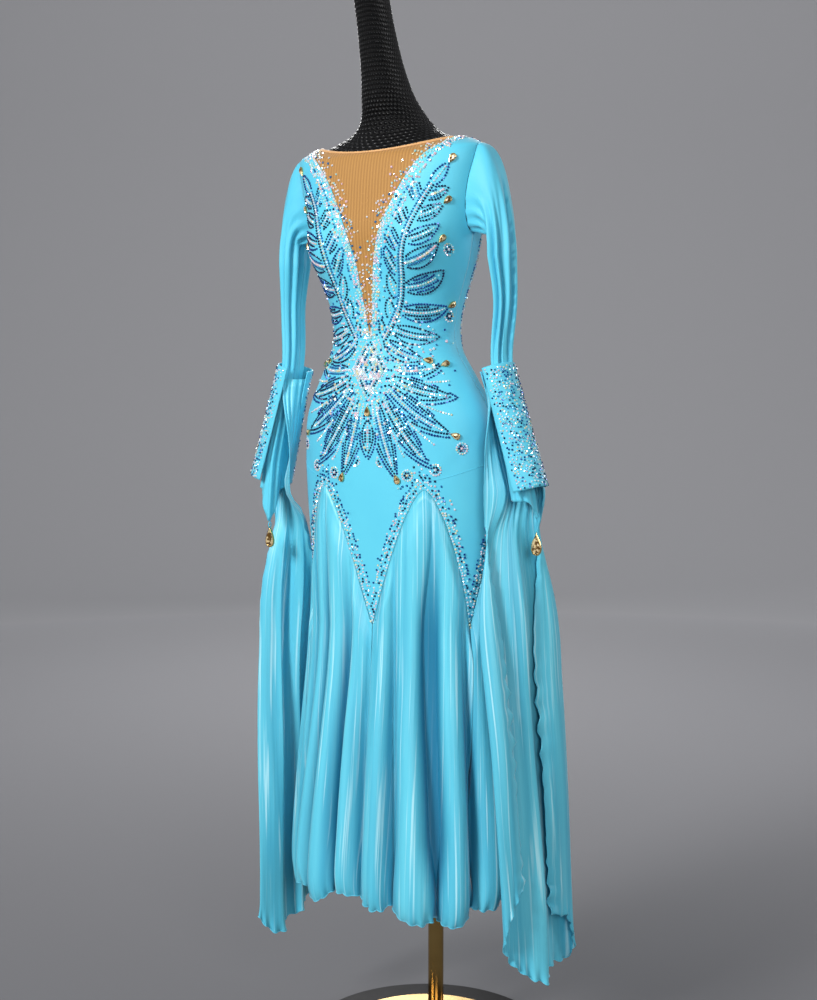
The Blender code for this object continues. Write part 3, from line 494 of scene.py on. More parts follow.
buildForm()
dressNode("base_plate", glossBlack)
dressNode("base_inlay", brass)
dressNode("pole", brass)
print("stand and form done")

# the bodice's front and back are grids of turn and station, with the same edges as the nude panels
bodice = dict(columns=52, lowRows=30, rowsBelowArmhole=48, rowsBesideArmhole=32, rowsAtTip=18, tipRise=0.05,
              metresPerDegree=0.0022, creaseScale=(0.0024, 1.0))
# creases: from and to, each a turn in degrees and a station, then width and height, ridge + or trough -
bodiceCreases = [(20, 1.245, 74, 1.262, 0.006, -0.0012), (-24, 1.240, -70, 1.268, 0.006, -0.0011),
                 (40, 1.285, 86, 1.305, 0.007, -0.0010), (-45, 1.290, -84, 1.300, 0.006, 0.0009),
                 (62, 1.43, 88, 1.36, 0.008, -0.0012), (-60, 1.425, -86, 1.37, 0.008, -0.0012),
                 (35, 1.020, 70, 1.115, 0.010, -0.0009), (-35, 1.015, -72, 1.110, 0.010, -0.0008),
                 (150, 1.15, 100, 1.20, 0.010, -0.0012), (-150, 1.14, -104, 1.195, 0.010, -0.0012),
                 (176, 1.195, 130, 1.165, 0.008, 0.0010), (-170, 1.18, -128, 1.155, 0.009, -0.0010)]


def bodiceSurface(turn, station):  # the body's surface, pushed out or in by the creases
    point = bodyPoint(turn, station)
    signed = unturned(turn)
    relief = creases(signed, np.asarray(station, float), bodiceCreases, bodice["creaseScale"])
    angle = np.radians(signed)
    point[..., 0] += relief * np.sin(angle)
    point[..., 1] -= relief * np.cos(angle)
    return point


def bodiceStations(tip):  # rows up to the neckline, closer beside the panel's tip and the armhole
    armholeLow = armhole["middle"] - armhole["rise"]
    low = np.linspace(bodySizes["yokeTop"], armholeLow, bodice["rowsBelowArmhole"], endpoint=False)
    fine = np.linspace(tip, tip + bodice["tipRise"], bodice["rowsAtTip"])
    bend = np.linspace(0, math.pi, bodice["rowsBesideArmhole"])
    beside = armhole["middle"] - armhole["rise"] * np.cos(bend)
    top = np.linspace(beside[-1], bodySizes["neckline"], 8)[1:]
    low = low[(low < tip - 0.002) | (low > tip + bodice["tipRise"] + 0.002)]
    return np.sort(np.concatenate([low, fine, beside, top]))


def openingTurn(edge, station):  # half opening of a nude panel, 0 below its tip
    station = np.asarray(station, float)
    return np.where(station > edge[0][0], along(edge, np.maximum(station, edge[0][0])), 0.0)


def bodiceHalf(edge, middleTurn, mirror):
    # from the yoke's edge straight up to the yoke's top, then between the nude panel and the side or armhole
    share = np.linspace(0, 1, bodice["columns"] + 1)
    edgeHeight = yokeEdge(share * 90 + middleTurn)
    climb = columnOf(np.linspace(0, 1, bodice["lowRows"], endpoint=False))
    lowStation = edgeHeight + (bodySizes["yokeTop"] - edgeHeight) * climb
    station = columnOf(bodiceStations(edge[0][0]))
    inner, outer = openingTurn(edge, station), 90 - armholeTurn(station)
    turn = np.concatenate([np.broadcast_to(share * 90, lowStation.shape), inner + share * (outer - inner)])
    station = np.concatenate([lowStation, np.broadcast_to(station, (len(station), len(share)))])
    turn = turn * mirror if middleTurn == 0 else 180 - turn * mirror
    points = bodiceSurface(turn, station)
    points[:, -1, 1] += bodySizes["seam"] * (1 if middleTurn else -1)
    return points, np.stack([unturned(turn - middleTurn) * bodice["metresPerDegree"], station], axis=-1)


def buildBodice(name, node, edge, middleTurn):
    left, right = bodiceHalf(edge, middleTurn, 1), bodiceHalf(edge, middleTurn, -1)
    if middleTurn == 0:
        right = tuple(part[:, ::-1] for part in right)
    else:
        left = tuple(part[:, ::-1] for part in left)
    return hang(clothPiece(name, [left, right], jersey, bodySizes["cloth"]), node)


inset = dict(columns=61, tipRows=14, rows=90, inward=0.0005, thickness=0.0009, edgeGap=0.15)
neckBinding = dict(columns=120, low=0.0020, rise=0.0090, bulge=0.0013, thickness=0.0016, endGap=0.4)


def buildInset(name, node, edge, middleTurn):  # the skin-toned panel: the body's surface between its edges
    share = np.linspace(-1, 1, inset["columns"])[None]
    tip = edge[0][0]
    station = columnOf(np.concatenate([tip + 0.012 * np.linspace(0, 1, inset["tipRows"]) ** 2,
                                       np.linspace(tip + 0.016, bodySizes["neckline"], inset["rows"])]))
    turn = np.maximum(openingTurn(edge, station) - inset["edgeGap"], 0.0) * share
    turn = turn if middleTurn == 0 else 180 - turn[:, ::-1]
    points = bodyPoint(turn, station, inset["inward"])
    flat = runAlong(points, 1)
    middle = inset["columns"] // 2
    uv = np.stack([flat - flat[:, middle:middle + 1], np.broadcast_to(station, flat.shape)], axis=-1)
    return hang(clothPiece(name, [(points, uv)], nude, inset["thickness"]), node)


def buildBinding(name, node, edge, middleTurn):
    # a strip along the panel's upper edge, bulged outwards by a half sine so that its section is a flat hoop
    half = float(along(edge, bodySizes["neckline"])) - neckBinding["endGap"]
    around = np.linspace(-half, half, neckBinding["columns"])[None]
    around = around if middleTurn == 0 else 180 - around[:, ::-1]
    hoop = columnOf(np.linspace(0, 1, 9))
    level = bodySizes["neckline"] - neckBinding["low"] + neckBinding["rise"] * hoop
    strip = bodyPoint(around, level, 0.0)
    angle = np.radians(np.broadcast_to(around, strip.shape[:2]))
    bulge = neckBinding["bulge"] * np.sin(math.pi * np.clip(hoop * 1.05, 0, 1)) ** 0.6
    strip[..., 0] += bulge * np.sin(angle) * 0.4
    strip[..., 1] -= bulge * np.cos(angle) * 0.4
    strip[..., 2] += bulge
    uv = np.stack(np.broadcast_arrays(np.radians(around) * 0.1, level), axis=-1)
    return hang(clothPiece(name, [(strip, uv)], binding, neckBinding["thickness"]), node)


# a curved seam from above each front arch, up round the hip
hipSeam = dict(turns=(24, 96), start=1.030, rise=0.030, over=60, radius=0.0006)


def buildHipSeams():
    turn = np.linspace(*hipSeam["turns"], 72)
    station = hipSeam["start"] + hipSeam["rise"] * ease((turn - hipSeam["turns"][0]) / hipSeam["over"])
    for side, word in ((1, "Left"), (-1, "Right")):
        path = bodiceSurface(turn * side, station)
        hang(sweptTube("hipSeam" + word, path, hipSeam["radius"], jersey, sides=6))


bodiceFront = buildBodice("bodiceFront", "bodice_front", frontEdge, 0)
bodiceBack = buildBodice("bodiceBack", "bodice_back", backEdge, 180)
frontInset = buildInset("frontInset", "front_inset", frontEdge, 0)
frontBinding = buildBinding("neckBindingFront", "neck_binding_front", frontEdge, 0)
backInset = buildInset("backInset", "back_inset", backEdge, 180)
backBinding = buildBinding("neckBindingBack", "neck_binding_back", backEdge, 180)
buildHipSeams()
print("bodice and nude panels done")

# sleeves: a cap that springs from the armhole and bends into a hanging fluted tube
sleeveTable = dict(zip(("height", "out", "along", "across", "deep", "fold"), np.array([
    (1.003, 0.258, -0.016, 0.0190, 0.0240, 0.0016),
    (1.060, 0.246, -0.016, 0.0180, 0.0235, 0.0018),
    (1.150, 0.2250, -0.016, 0.0150, 0.0215, 0.0026),
    (1.230, 0.2130, -0.014, 0.0140, 0.0205, 0.0025),
    (1.330, 0.2155, -0.009, 0.0150, 0.0210, 0.0022),
    (1.395, 0.2105, -0.010, 0.0195, 0.0280, 0.0018),
]).T))
# the drawn-down point over the hand: its level, drop, elastic loop's length, and place round the sleeve
handPoints = dict(left=(1.003, 0.028, 0.024, -30), right=(1.003, 0.058, 0.010, 120))
sleeve = dict(folds=3, capPush=0.049, columns=80, capRows=34, capLow=1.395, tubeRows=64, tubeLow=1.050,
              fluteDepth=0.0034, gatherDepth=0.0044, edge=0.0004, capFall=0.13, thickness=0.0009,
              metresPerRadian=0.022)


def normalsOf(grid, closed=False):  # cross product of the steps across and along the grid
    if closed:
        inner = grid[:, :-1]
        across = np.roll(inner, -1, axis=1) - np.roll(inner, 1, axis=1)
        across = np.concatenate([across, across[:, :1]], axis=1)
    else:
        across = np.gradient(grid, axis=1)
    return unit(np.cross(across, np.gradient(grid, axis=0)))


def sleeveRing(side, z, angle):  # an ellipse with a cosine's folds round it
    row = {name: column(sleeveTable, name, z) for name in ("out", "along", "across", "deep", "fold")}
    fold = row["fold"] * np.cos(sleeve["folds"] * angle + 0.4)
    x = row["out"] + (row["across"] + fold) * np.cos(angle)
    y = row["along"] - (row["deep"] + fold) * np.sin(angle)
    return np.stack([side * x, y + bodySizes["waistY"], np.broadcast_to(z, x.shape)], axis=-1)


def sleeveGrid(side, word):
    # the cap is a cubic from the armhole's edge, pushed outwards, to the tube's first ring
    angle = np.linspace(0, 2 * math.pi, sleeve["columns"] + 1)
    edge = sleeve["edge"]
    start = bodyPoint((90 - (armhole["turn"] - math.degrees(edge / 0.1)) * np.sin(angle)) * side,
                      armhole["middle"] + (armhole["rise"] - edge) * np.cos(angle))
    end = sleeveRing(side, sleeve["capLow"], angle)
    outward = start - np.array([0.0, bodySizes["waistY"] - 0.012, armhole["middle"] - 0.01])
    outward = unit(outward * [1.0, 0.35, 0.45])
    w = columnOf(np.linspace(0, 1, sleeve["capRows"], endpoint=False) ** 1.1)[..., None]
    cap = (start * (1 + 2 * w) * (1 - w) ** 2 + outward * sleeve["capPush"] * 2.2 * w * (1 - w) ** 2
           + end * w**2 * (3 - 2 * w) + np.array([0, 0, -sleeve["capFall"]]) * w**2 * (w - 1))
    tubeLow = sleeve["tubeLow"]
    tube = sleeveRing(side, columnOf(np.linspace(sleeve["capLow"], tubeLow, sleeve["tubeRows"])), angle[None])
    # below it the ring is drawn down to the point over the hand
    level, point, _, place = handPoints[word]
    t = columnOf(np.linspace(0, 1, 16)[1:])
    hand = sleeveRing(side, tubeLow + (level - tubeLow) * t, angle[None])
    hand[..., 2] -= point * np.clip(np.cos(angle - math.radians(place)), 0, 1) ** 3 * t**1.2
    grid = np.concatenate([cap, tube, hand])
    run = columnOf(runAlong(grid[:, 0]))
    # flutes run down the sleeve and wander a little, and gathers fan out from the underarm
    a = angle[None]
    wide = np.cos(9 * a + 1.3 + 0.9 * np.sin(run * 9 + side))
    flute = wide + 0.6 * np.cos(13 * a - 0.7 * np.sin(run * 7.0) + 2 * side)
    depth = sleeve["fluteDepth"] * ease((run - 0.03) / 0.16) * (1 - 0.55 * ease((run - 0.30) / 0.10))
    flute = flute - 0.9 * np.maximum(np.cos(5 * a + 0.6 + 0.8 * np.sin(run * 6)), 0) ** 6
    nearArm, under = np.exp(-((run - 0.060) / 0.05) ** 2), np.clip(-np.cos(a), 0, 1) ** 0.8
    gathers = sleeve["gatherDepth"] * np.cos(17 * a + run * 24) * nearArm * under
    grid = grid + normalsOf(grid, True) * (flute * depth + gathers)[..., None] * side
    return grid, np.stack(np.broadcast_arrays(a * sleeve["metresPerRadian"], run), axis=-1)


# cuffs: flared gauntlets, open in a slit
cuff = dict(top=1.2175, low=1.0190, turn=38, out=(0.2052, 0.2600), along=-0.016, across=(0.0270, 0.0360),
            deep=(0.0340, 0.0365), slit=(34, 48), thickness=0.0020, columns=97, rows=57, ripple=0.0006)


def cuffSection(z):  # how far out it stands and its half widths, in a straight line from top to low
    w = np.clip((cuff["top"] - z) / (cuff["top"] - cuff["low"]), 0, 1)
    return tuple(cuff[name][0] + (cuff[name][1] - cuff[name][0]) * w for name in ("out", "across", "deep"))


def cuffPoint(side, share, w):  # share 0 to 1 round it from one side of the slit to the other, w 0 at the top
    z = cuff["top"] + (cuff["low"] - cuff["top"]) * w
    out, across, deep = cuffSection(z)
    slit = cuff["slit"][0] + (cuff["slit"][1] - cuff["slit"][0]) * w
    angle = np.radians(180 - slit - (360 - 2 * slit) * share - cuff["turn"])
    flare = 1 + 0.12 * np.maximum(0.0, 1 - w / 0.2) * np.clip(-np.cos(angle), 0, 1)
    ripple = cuff["ripple"] * np.sin(share * 21 + 2 * w) * ease(w / 0.3)
    x, y = (across * flare + ripple) * np.cos(angle), -(deep * flare + ripple) * np.sin(angle)
    lean = (cuff["out"][1] - cuff["out"][0]) / (cuff["top"] - cuff["low"])
    place = (side * (out + x), y + cuff["along"] + bodySizes["waistY"], z + x * lean)
    return np.stack(np.broadcast_arrays(*place), axis=-1)


# floats: long panels gathered inside the cuff, with curled edges
floatNames = ("height", "frontOut", "frontAlong", "backOut", "backAlong", "wrap")
floatTables = dict(
    left=dict(zip(floatNames, np.array([
        (0.170, 0.266, -0.060, 0.290, 0.094, 0.0),
        (0.300, 0.257, -0.062, 0.286, 0.090, 0.0),
        (0.500, 0.240, -0.066, 0.278, 0.085, 0.0),
        (0.700, 0.221, -0.062, 0.269, 0.074, 0.0),
        (0.900, 0.207, -0.052, 0.264, 0.055, 0.0),
        (0.950, 0.204, -0.047, 0.261, 0.046, 0.25),
        (1.000, 0.203, -0.043, 0.257, 0.038, 1.0),
        (1.060, 0.203, -0.040, 0.252, 0.030, 1.0),
        (1.150, 0.203, -0.036, 0.248, 0.020, 1.0),
    ]).T)),
    right=dict(zip(floatNames, np.array([
        (0.170, 0.242, 0.106, 0.287, -0.014, 0.0),
        (0.300, 0.241, 0.102, 0.286, -0.015, 0.0),
        (0.500, 0.236, 0.094, 0.284, -0.018, 0.0),
        (0.700, 0.228, 0.072, 0.281, -0.018, 0.0),
        (0.900, 0.206, 0.048, 0.273, -0.010, 0.0),
        (0.950, 0.200, 0.034, 0.268, 0.000, 0.25),
        (1.000, 0.204, 0.000, 0.262, 0.010, 1.0),
        (1.060, 0.205, -0.020, 0.257, 0.012, 1.0),
        (1.150, 0.203, -0.024, 0.250, 0.012, 1.0),
    ]).T)))
floats = dict(top=1.150, tuck=0.046, arc=(118, 330), columns=150, rows=92, rowsAtHem=25, gathers=13,
              gatherDepth=0.0011, curl=0.0046, curlStep=0.034, drift=0.0042, edgeFade=0.010, ruffle=0.0034,
              ruffleStep=0.026, ruffleFade=0.012, clear=0.004, thickness=0.0008, edgeRadius=0.0008,
              cut=dict(left=(0.42, 1.00), right=(0.30, 1.07)), area=dict(left=0.226, right=0.180),
              pull=dict(left=(0.012, 0.0), right=(0.034, 0.026)))  # how far it spills out of the cuff's slit
# the hanging float seen from below: way across the cloth, way along the line between its ends, millimetres
# towards the front of the folds, and the hem's height
floatSections = dict(
    left=[(0.00, 0.24, 9, 0.372), (0.07, 0.12, 12, 0.352), (0.13, 0.02, 8, 0.322), (0.18, -0.03, 0, 0.290),
          (0.25, 0.08, -8, 0.252), (0.33, 0.24, -2, 0.226), (0.42, 0.40, 9, 0.208), (0.48, 0.52, 13, 0.203),
          (0.54, 0.60, 1, 0.214), (0.62, 0.80, -8, 0.220), (0.70, 1.03, -8, 0.216), (0.76, 1.07, 2, 0.238),
          (0.83, 0.96, 9, 0.292), (0.91, 0.80, 11, 0.304), (1.00, 0.66, 5, 0.312)],
    right=[(0.00, 0.02, -6, 0.250), (0.10, 0.10, 2, 0.238), (0.20, 0.24, 9, 0.224), (0.28, 0.34, 2, 0.214),
           (0.34, 0.38, -9, 0.208), (0.42, 0.48, 0, 0.200), (0.50, 0.58, 11, 0.190), (0.57, 0.66, 5, 0.181),
           (0.62, 0.68, -8, 0.176), (0.70, 0.80, -6, 0.173), (0.78, 0.96, 0, 0.188), (0.84, 1.04, 6, 0.204),
           (0.90, 0.97, 12, 0.200), (1.00, 0.78, 14, 0.190)])
# the skirt that the floats hang beside: its rings, and its folds' height by the height above the floor
skirtTable = dict(zip(("height", "width", "middle", "front", "back"), np.array([
    (0.290, 0.198, 0.045, 0.154, 0.160),
    (0.400, 0.194, 0.045, 0.147, 0.151),
    (0.600, 0.184, 0.046, 0.132, 0.130),
    (0.720, 0.179, 0.048, 0.124, 0.118),
    (0.780, 0.178, 0.048, 0.122, 0.116),
]).T))
skirtLow, skirtHigh = skirtTable["height"][[0, -1]]
skirtSquare = 2.2
foldDepth = [(0.290, 0.040), (0.450, 0.034), (0.700, 0.021), (0.900, 0.011), (1.020, 0.005)]


def besideSkirt(x, y, z):  # pushes points out to clear the squared ellipse of the hips or the skirt
    low, high = np.clip(z, skirtLow, skirtHigh), np.maximum(z, bodySizes["pointLow"])
    width, middle, front, back = (
        np.where(z < skirtHigh, column(skirtTable, name, low), column(rings, name, high))
        for name in ("width", "middle", "front", "back"))
    y = y - middle
    depth = np.where(y < 0, front, back)
    reach = np.hypot(x, y)
    squared = (np.abs(x) / width) ** skirtSquare + (np.abs(y) / depth) ** skirtSquare
    goal = reach * squared ** (-1 / skirtSquare) + floats["clear"]
    goal = goal + np.clip(along(foldDepth, np.minimum(z, foldDepth[-1][0])), 0, 1)
    push = np.maximum(goal / reach, 1)
    return x * push, y * push + middle


def insideCuff(z, share, w):  # an arc round the sleeve in fine gathers, x and y
    out, across, deep = cuffSection(z)
    free = np.clip(1 - share / 0.24, 0, 1)
    sewn = np.clip(1 - w / 0.1, 0, 1)
    angle = np.radians(floats["arc"][0] + (floats["arc"][1] - floats["arc"][0]) * share)
    x = out - (out - cuffSection(floats["top"])[0]) * free + (across - 0.0075 + 0.0033 * sewn) * np.cos(angle)
    y = -(deep - 0.0062 + 0.0021 * sewn) * np.sin(angle) + cuff["along"]
    wave = np.sin(2 * math.pi * floats["gathers"] * share + 1.5 * np.sin(share * 17))
    gather = floats["gatherDepth"] * wave * ease((np.minimum(z, floats["top"]) - 0.90) / 0.10)
    return x + gather * np.cos(angle), y - gather * np.sin(angle)


def hangingFree(z, share, section, ends, flip):
    # a line between the cloth's two ends, with the section's folds opening as it falls, and its heading
    loose = ease((1.02 - z) / 0.30)
    way = share + (smoothCurve(share, section[0], section[1]) - share) * (0.35 + 0.65 * loose)
    x = ends["frontOut"] + (ends["backOut"] - ends["frontOut"]) * way
    y = ends["frontAlong"] + (ends["backAlong"] - ends["frontAlong"]) * way
    heading = np.stack([ends["backOut"] - ends["frontOut"], ends["backAlong"] - ends["frontAlong"]])
    heading = heading / np.linalg.norm(heading, axis=0)
    wander = (0.0020 * np.sin(share * 9 + z * 11) + 0.0010 * np.sin(share * 41 + 2 * np.sin(z * 7))) * loose
    lift = (smoothCurve(share, section[0], section[2]) * 0.001 * (0.30 + 0.85 * loose) + wander) * flip
    return x + lift * heading[1], y - lift * heading[0], heading


def floatGrid(side, word):
    # wrapped inside the cuff and hanging free below it; the curled edges and the hem are sine waves that fade
    # within a finger's width
    section, top = np.array(floatSections[word]).T, floats["top"]
    share = np.linspace(0, 1, floats["columns"] + 1)[None]
    upper = np.linspace(-0.05, 0.94, floats["rows"] - floats["rowsAtHem"] + 1, endpoint=False)
    w = columnOf(np.concatenate([upper, np.linspace(0.94, 1, floats["rowsAtHem"])]))
    hem = smoothCurve(share, section[0], section[3])
    z = np.where(w < 0, top - floats["tuck"] * w / 0.05, top + (hem - top) * w)
    ends = {name: column(floatTables[word], name, np.minimum(z, top)) for name in floatNames[1:]}
    arcX, arcY = insideCuff(z, share, w)
    lineX, lineY, heading = hangingFree(z, share, section, ends, side)
    x, y = ends["wrap"] * arcX + (1 - ends["wrap"]) * lineX, ends["wrap"] * arcY + (1 - ends["wrap"]) * lineY
    pull = np.clip(1 - share / 0.6, 0, 1) * ease((1.18 - z) / 0.11) * ease((z - 0.58) / 0.26)
    x, y = besideSkirt(x - floats["pull"][word][0] * pull, y - floats["pull"][word][1] * pull, z)
    grid = np.stack([side * x, y + bodySizes["waistY"], z], axis=-1)
    normal, run = normalsOf(grid), runAlong(grid, 1)
    step = 2 * math.pi * z / floats["curlStep"] + 2.2 * np.sin(z * 13 + side)
    fromFront, fromBack = (np.exp(-off / floats["edgeFade"]) for off in (run, run[:, -1:] - run))
    size = ease((top - z - 0.14) / 0.2) * (0.55 + 0.45 * np.sin(z * 19 + 2 * side))
    curl = floats["curl"] * size * (np.sin(step) * fromFront + np.sin(step * 0.9 + 2) * fromBack)
    drift = floats["drift"] * size * (np.sin(step + 1.3) * fromFront + np.sin(step * 0.9 + 0.6) * fromBack)
    nearHem = np.exp(-(z - hem) / floats["ruffleFade"])
    hemPhase = 2 * math.pi * run[-1:] / floats["ruffleStep"]
    ruffle = floats["ruffle"] * np.sin(hemPhase + 1.8 * np.sin(run[-1:] * 31)) * nearHem
    grid = grid + normal * (curl + ruffle)[..., None]
    grid[..., 0] += side * drift * heading[0]
    grid[..., 1] += drift * heading[1]
    grid[..., 2] += 0.0020 * np.sin(hemPhase + 0.9) * nearHem
    middleRun = np.broadcast_to(run[len(w) // 2], run.shape)
    return grid, np.stack([middleRun + 3 * side, z], axis=-1)


def hollowOf(grid, reach, depth, outward):  # how far each point lies below the mean of its row's neighbours, 0 to 1, as the mask of painted shade in the folds
    ends = (np.repeat(grid[:, :1], reach, axis=1), np.repeat(grid[:, -1:], reach, axis=1))
    padded = np.concatenate([ends[0], grid, ends[1]], axis=1)
    total = np.cumsum(np.concatenate([np.zeros_like(padded[:, :1]), padded], axis=1), axis=1)
    mean = (total[:, 2 * reach + 1:] - total[:, :-2 * reach - 1]) / (2 * reach + 1)
    below = ((mean - grid) * normalsOf(grid)).sum(axis=-1) * outward
    return ease(below / depth)


def buildSleeve(side, word):  # the piece, and its lowest point
    grid, uv = sleeveGrid(side, word)
    # painted shade in the sleeve's flutes and gathers
    made = clothPiece("sleeve" + word.capitalize(), [(grid, uv)], jersey, sleeve["thickness"], flip=side < 0,
                      foldShade=hollowOf(grid, 7, 0.0024, side))
    return hang(made, "sleeve_" + word), grid[-1, np.argmin(grid[-1, :, 2])]


def buildCuff(side, word):
    share, w = np.meshgrid(np.linspace(0, 1, cuff["columns"]), np.linspace(0, 1, cuff["rows"]))
    flat = np.stack([share * 0.2, w * 0.2], axis=-1)
    made = clothPiece("cuff" + word.capitalize(), [(cuffPoint(side, share, w), flat)], jersey,
                      cuff["thickness"], flip=side > 0)
    return hang(made, "cuff_" + word)


def buildFloat(side, word):  # the panel, and the thin roll round its free edges
    grid, uv = floatGrid(side, word)
    # painted shade, at six tenths, in the float's folds
    made = clothPiece("float" + word.capitalize(), [(grid, uv)], satin, floats["thickness"], flip=side > 0,
                      foldShade=0.6 * hollowOf(grid, 10, 0.0120, -side))
    hang(made, "float_" + word)
    edge = np.concatenate([grid[:, 0], grid[-1, 1:], grid[::-1, -1][1:]])
    roll = sweptTube("floatEdge" + word.capitalize(), edge, floats["edgeRadius"], satin, sides=5)
    return made, hang(roll)


arms = {}
for side, word in ((1, "left"), (-1, "right")):
    sleeveMade, lowest = buildSleeve(side, word)
    cuffMade = buildCuff(side, word)
    floatMade, floatEdge = buildFloat(side, word)
    arms[word] = sleeveMade, lowest
print("sleeves, cuffs and floats done")

# the skirt: six gathered panels under the yoke's arches
skirt = dict(hem=0.308, columns=126, rows=60, rowsAtHem=19, endGap=0.07, topGap=0.0006, tuckIn=0.014,
             ruffle=0.0038, ruffleStep=0.019, ruffleFade=0.011, thickness=0.0008, edgeRadius=0.0009)
# valleys between the folds: degrees from the centre front, share of the full depth, and how far each opens
valleys = [(0, 0.8, 0.4), (14, 0.9, 0.5), (38, 1.0, 1.9), (60, 0.9, 1.3), (80, 1.0, 0.7), (100, 0.9, 1.1),
           (120, 0.8, 0.5), (138, 1.0, 1.5), (158, 0.9, 0.6), (180, 0.9, 1.1), (197, 0.9, 0.5),
           (219, 1.0, 1.5), (240, 0.8, 0.5), (257, 0.9, 0.9), (279, 1.0, 1.4), (300, 0.8, 0.6),
           (313, 0.7, 0.6), (327, 0.9, 0.9), (347, 0.9, 1.5), (360, 0.8, 0.4)]
valleyDepth = [(0.290, 0.012), (0.450, 0.009), (0.650, 0.003), (0.760, 0.000), (1.020, 0.000)]
# the hem's rise, by degrees from the centre front
hemLift = [(0, 0.020), (7, 0.016), (26, 0.004), (49, 0.000), (70, 0.022), (90, 0.012), (110, 0.000),
           (129, 0.016), (148, 0.004), (170, 0.012), (190, 0.000), (208, 0.014), (230, 0.004), (248, 0.018),
           (268, 0.002), (290, 0.014), (306, 0.004), (320, 0.018), (337, 0.006), (353, 0.032), (360, 0.020)]


def foldProfile(turn, floor=0.0):  # 0 on a valley's floor and 1 over a fold, like tubes side by side
    turn = np.asarray(turn, float) % 360
    at, depth, opening = np.array(valleys, float).T
    i = np.clip(np.searchsorted(at, turn, side="right") - 1, 0, len(at) - 2)
    w = (turn - at[i]) / (at[i + 1] - at[i])
    first, last = floor * opening[i], floor * opening[i + 1]
    rounded = np.sin(math.pi * np.clip((w - first) / (1 - first - last), 0, 1))
    return (rounded + 0.002) ** 0.5 * (depth[i] * (1 - w) + depth[i + 1] * w)


def openness(turn):  # how far the nearer valleys open, 0.4 to 1, which sets how strong their painted shade is
    at, _, opening = np.array(valleys, float).T
    return np.clip(0.25 + 0.55 * np.interp(np.asarray(turn, float) % 360, at, opening), 0.4, 1)


def fold(turn, z):  # the valleys lean to the side as they fall, and fine shallow waves cross the folds
    drop = 1.0 - z
    radians = np.radians(turn)
    lean = 7.0 * ease((z - 0.36) / 0.42) * np.sin(radians)
    wander = (1.1 * np.sin(radians * 3 + drop * 5) + 0.6 * np.sin(radians * 7 - drop * 8)) * ease(drop / 0.4)
    minor = 0.030 * np.sin(radians * 43 + 2.2 * np.sin(drop * 4 + radians * 2))
    minor = minor * (0.5 + 0.5 * np.sin(radians * 5 + 1))
    floor = 0.125 * ease((z - 0.33) / 0.12) * ease((0.98 - z) / 0.2) * (0.7 + 0.3 * np.sin(radians * 4 + 0.5))
    return foldProfile(turn + wander + lean, floor) + minor * ease(drop / 0.25)


def skirtPoint(turn, z):  # the body above and a squared ellipse below, pushed out over the folds
    turn, z = np.broadcast_arrays(turn, z)
    top = bodyPoint(turn, np.maximum(z, bodySizes["pointLow"]))
    angle = np.radians(turn)
    across, ahead = np.sin(angle), np.cos(angle)
    low = np.clip(z, skirtLow, skirtHigh)
    ring = {name: column(skirtTable, name, low) for name in ("width", "middle", "front", "back")}
    depth = np.where(ahead > 0, ring["front"], ring["back"])
    freeX = ring["width"] * power(across, 2 / skirtSquare)
    freeY = ring["middle"] - depth * power(ahead, 2 / skirtSquare) + bodySizes["waistY"]
    points = np.where((z < skirtHigh)[..., None], np.stack([freeX, freeY, z], axis=-1), top)
    crest = fold(turn, z)
    swell = along(foldDepth, z) * crest - along(valleyDepth, z) * (1 - crest)
    swell = swell * ease((yokeEdge(turn) - z) / 0.06)
    points[..., 0] += swell * across
    points[..., 1] -= swell * ahead
    points[..., 2] = z
    return points


def godetGrid(number):
    # from the arch to the hem, where the tubes draw in, hang lowest on their crests and run in small waves
    pitch = 360 / bodySizes["godets"]
    turn = number * pitch + np.linspace(0, pitch, skirt["columns"] + 1)
    turn[[0, -1]] += [skirt["endGap"], -skirt["endGap"]]
    slope = (yokeEdge(turn + 0.5) - yokeEdge(turn - 0.5)) / math.radians(1.0) / bodySizes["hipRadius"]
    top = yokeEdge(turn) - skirt["topGap"] * np.sqrt(1 + slope**2)
    upper = np.linspace(0, 0.93, skirt["rows"] - skirt["rowsAtHem"] + 1, endpoint=False)
    w = columnOf(np.concatenate([upper, np.linspace(0.93, 1, skirt["rowsAtHem"])]))
    hem = skirt["hem"] + along(hemLift, turn)
    z = top + (hem - top) * w
    grid = skirtPoint(turn[None], z)
    fromHem, crest, radians = z - hem, foldProfile(turn), np.radians(turn)
    tuckIn = skirt["tuckIn"] * crest * np.exp(-fromHem / 0.018)
    grid[..., 0] -= tuckIn * np.sin(radians)
    grid[..., 1] += tuckIn * np.cos(radians)
    run = runAlong(grid[-1])
    phase = 2 * math.pi * run / skirt["ruffleStep"] + 1.9 * np.sin(run * 29 + number)
    size = skirt["ruffle"] * (0.65 + 0.35 * np.sin(run * 41 + 2 * number))
    fade = np.exp(-fromHem / skirt["ruffleFade"])
    grid = grid - normalsOf(grid) * (size * np.sin(phase) * fade)[..., None]
    crestDrop = (0.016 * crest - 0.006) * np.exp(-fromHem / 0.10)
    grid[..., 2] += 0.5 * size * np.sin(phase + 1.2) * fade - crestDrop
    uv = np.stack(np.broadcast_arrays(runAlong(grid[len(w) // 2]) + number, z), axis=-1)
    # painted shade: darker down in the valleys between the folds, fading out under the arch and stronger
    # where a valley opens wide
    foldShade = ease(1.25 - 1.35 * fold(turn, z)) * ease((top - z) / 0.25) * openness(turn)
    return grid, uv, foldShade


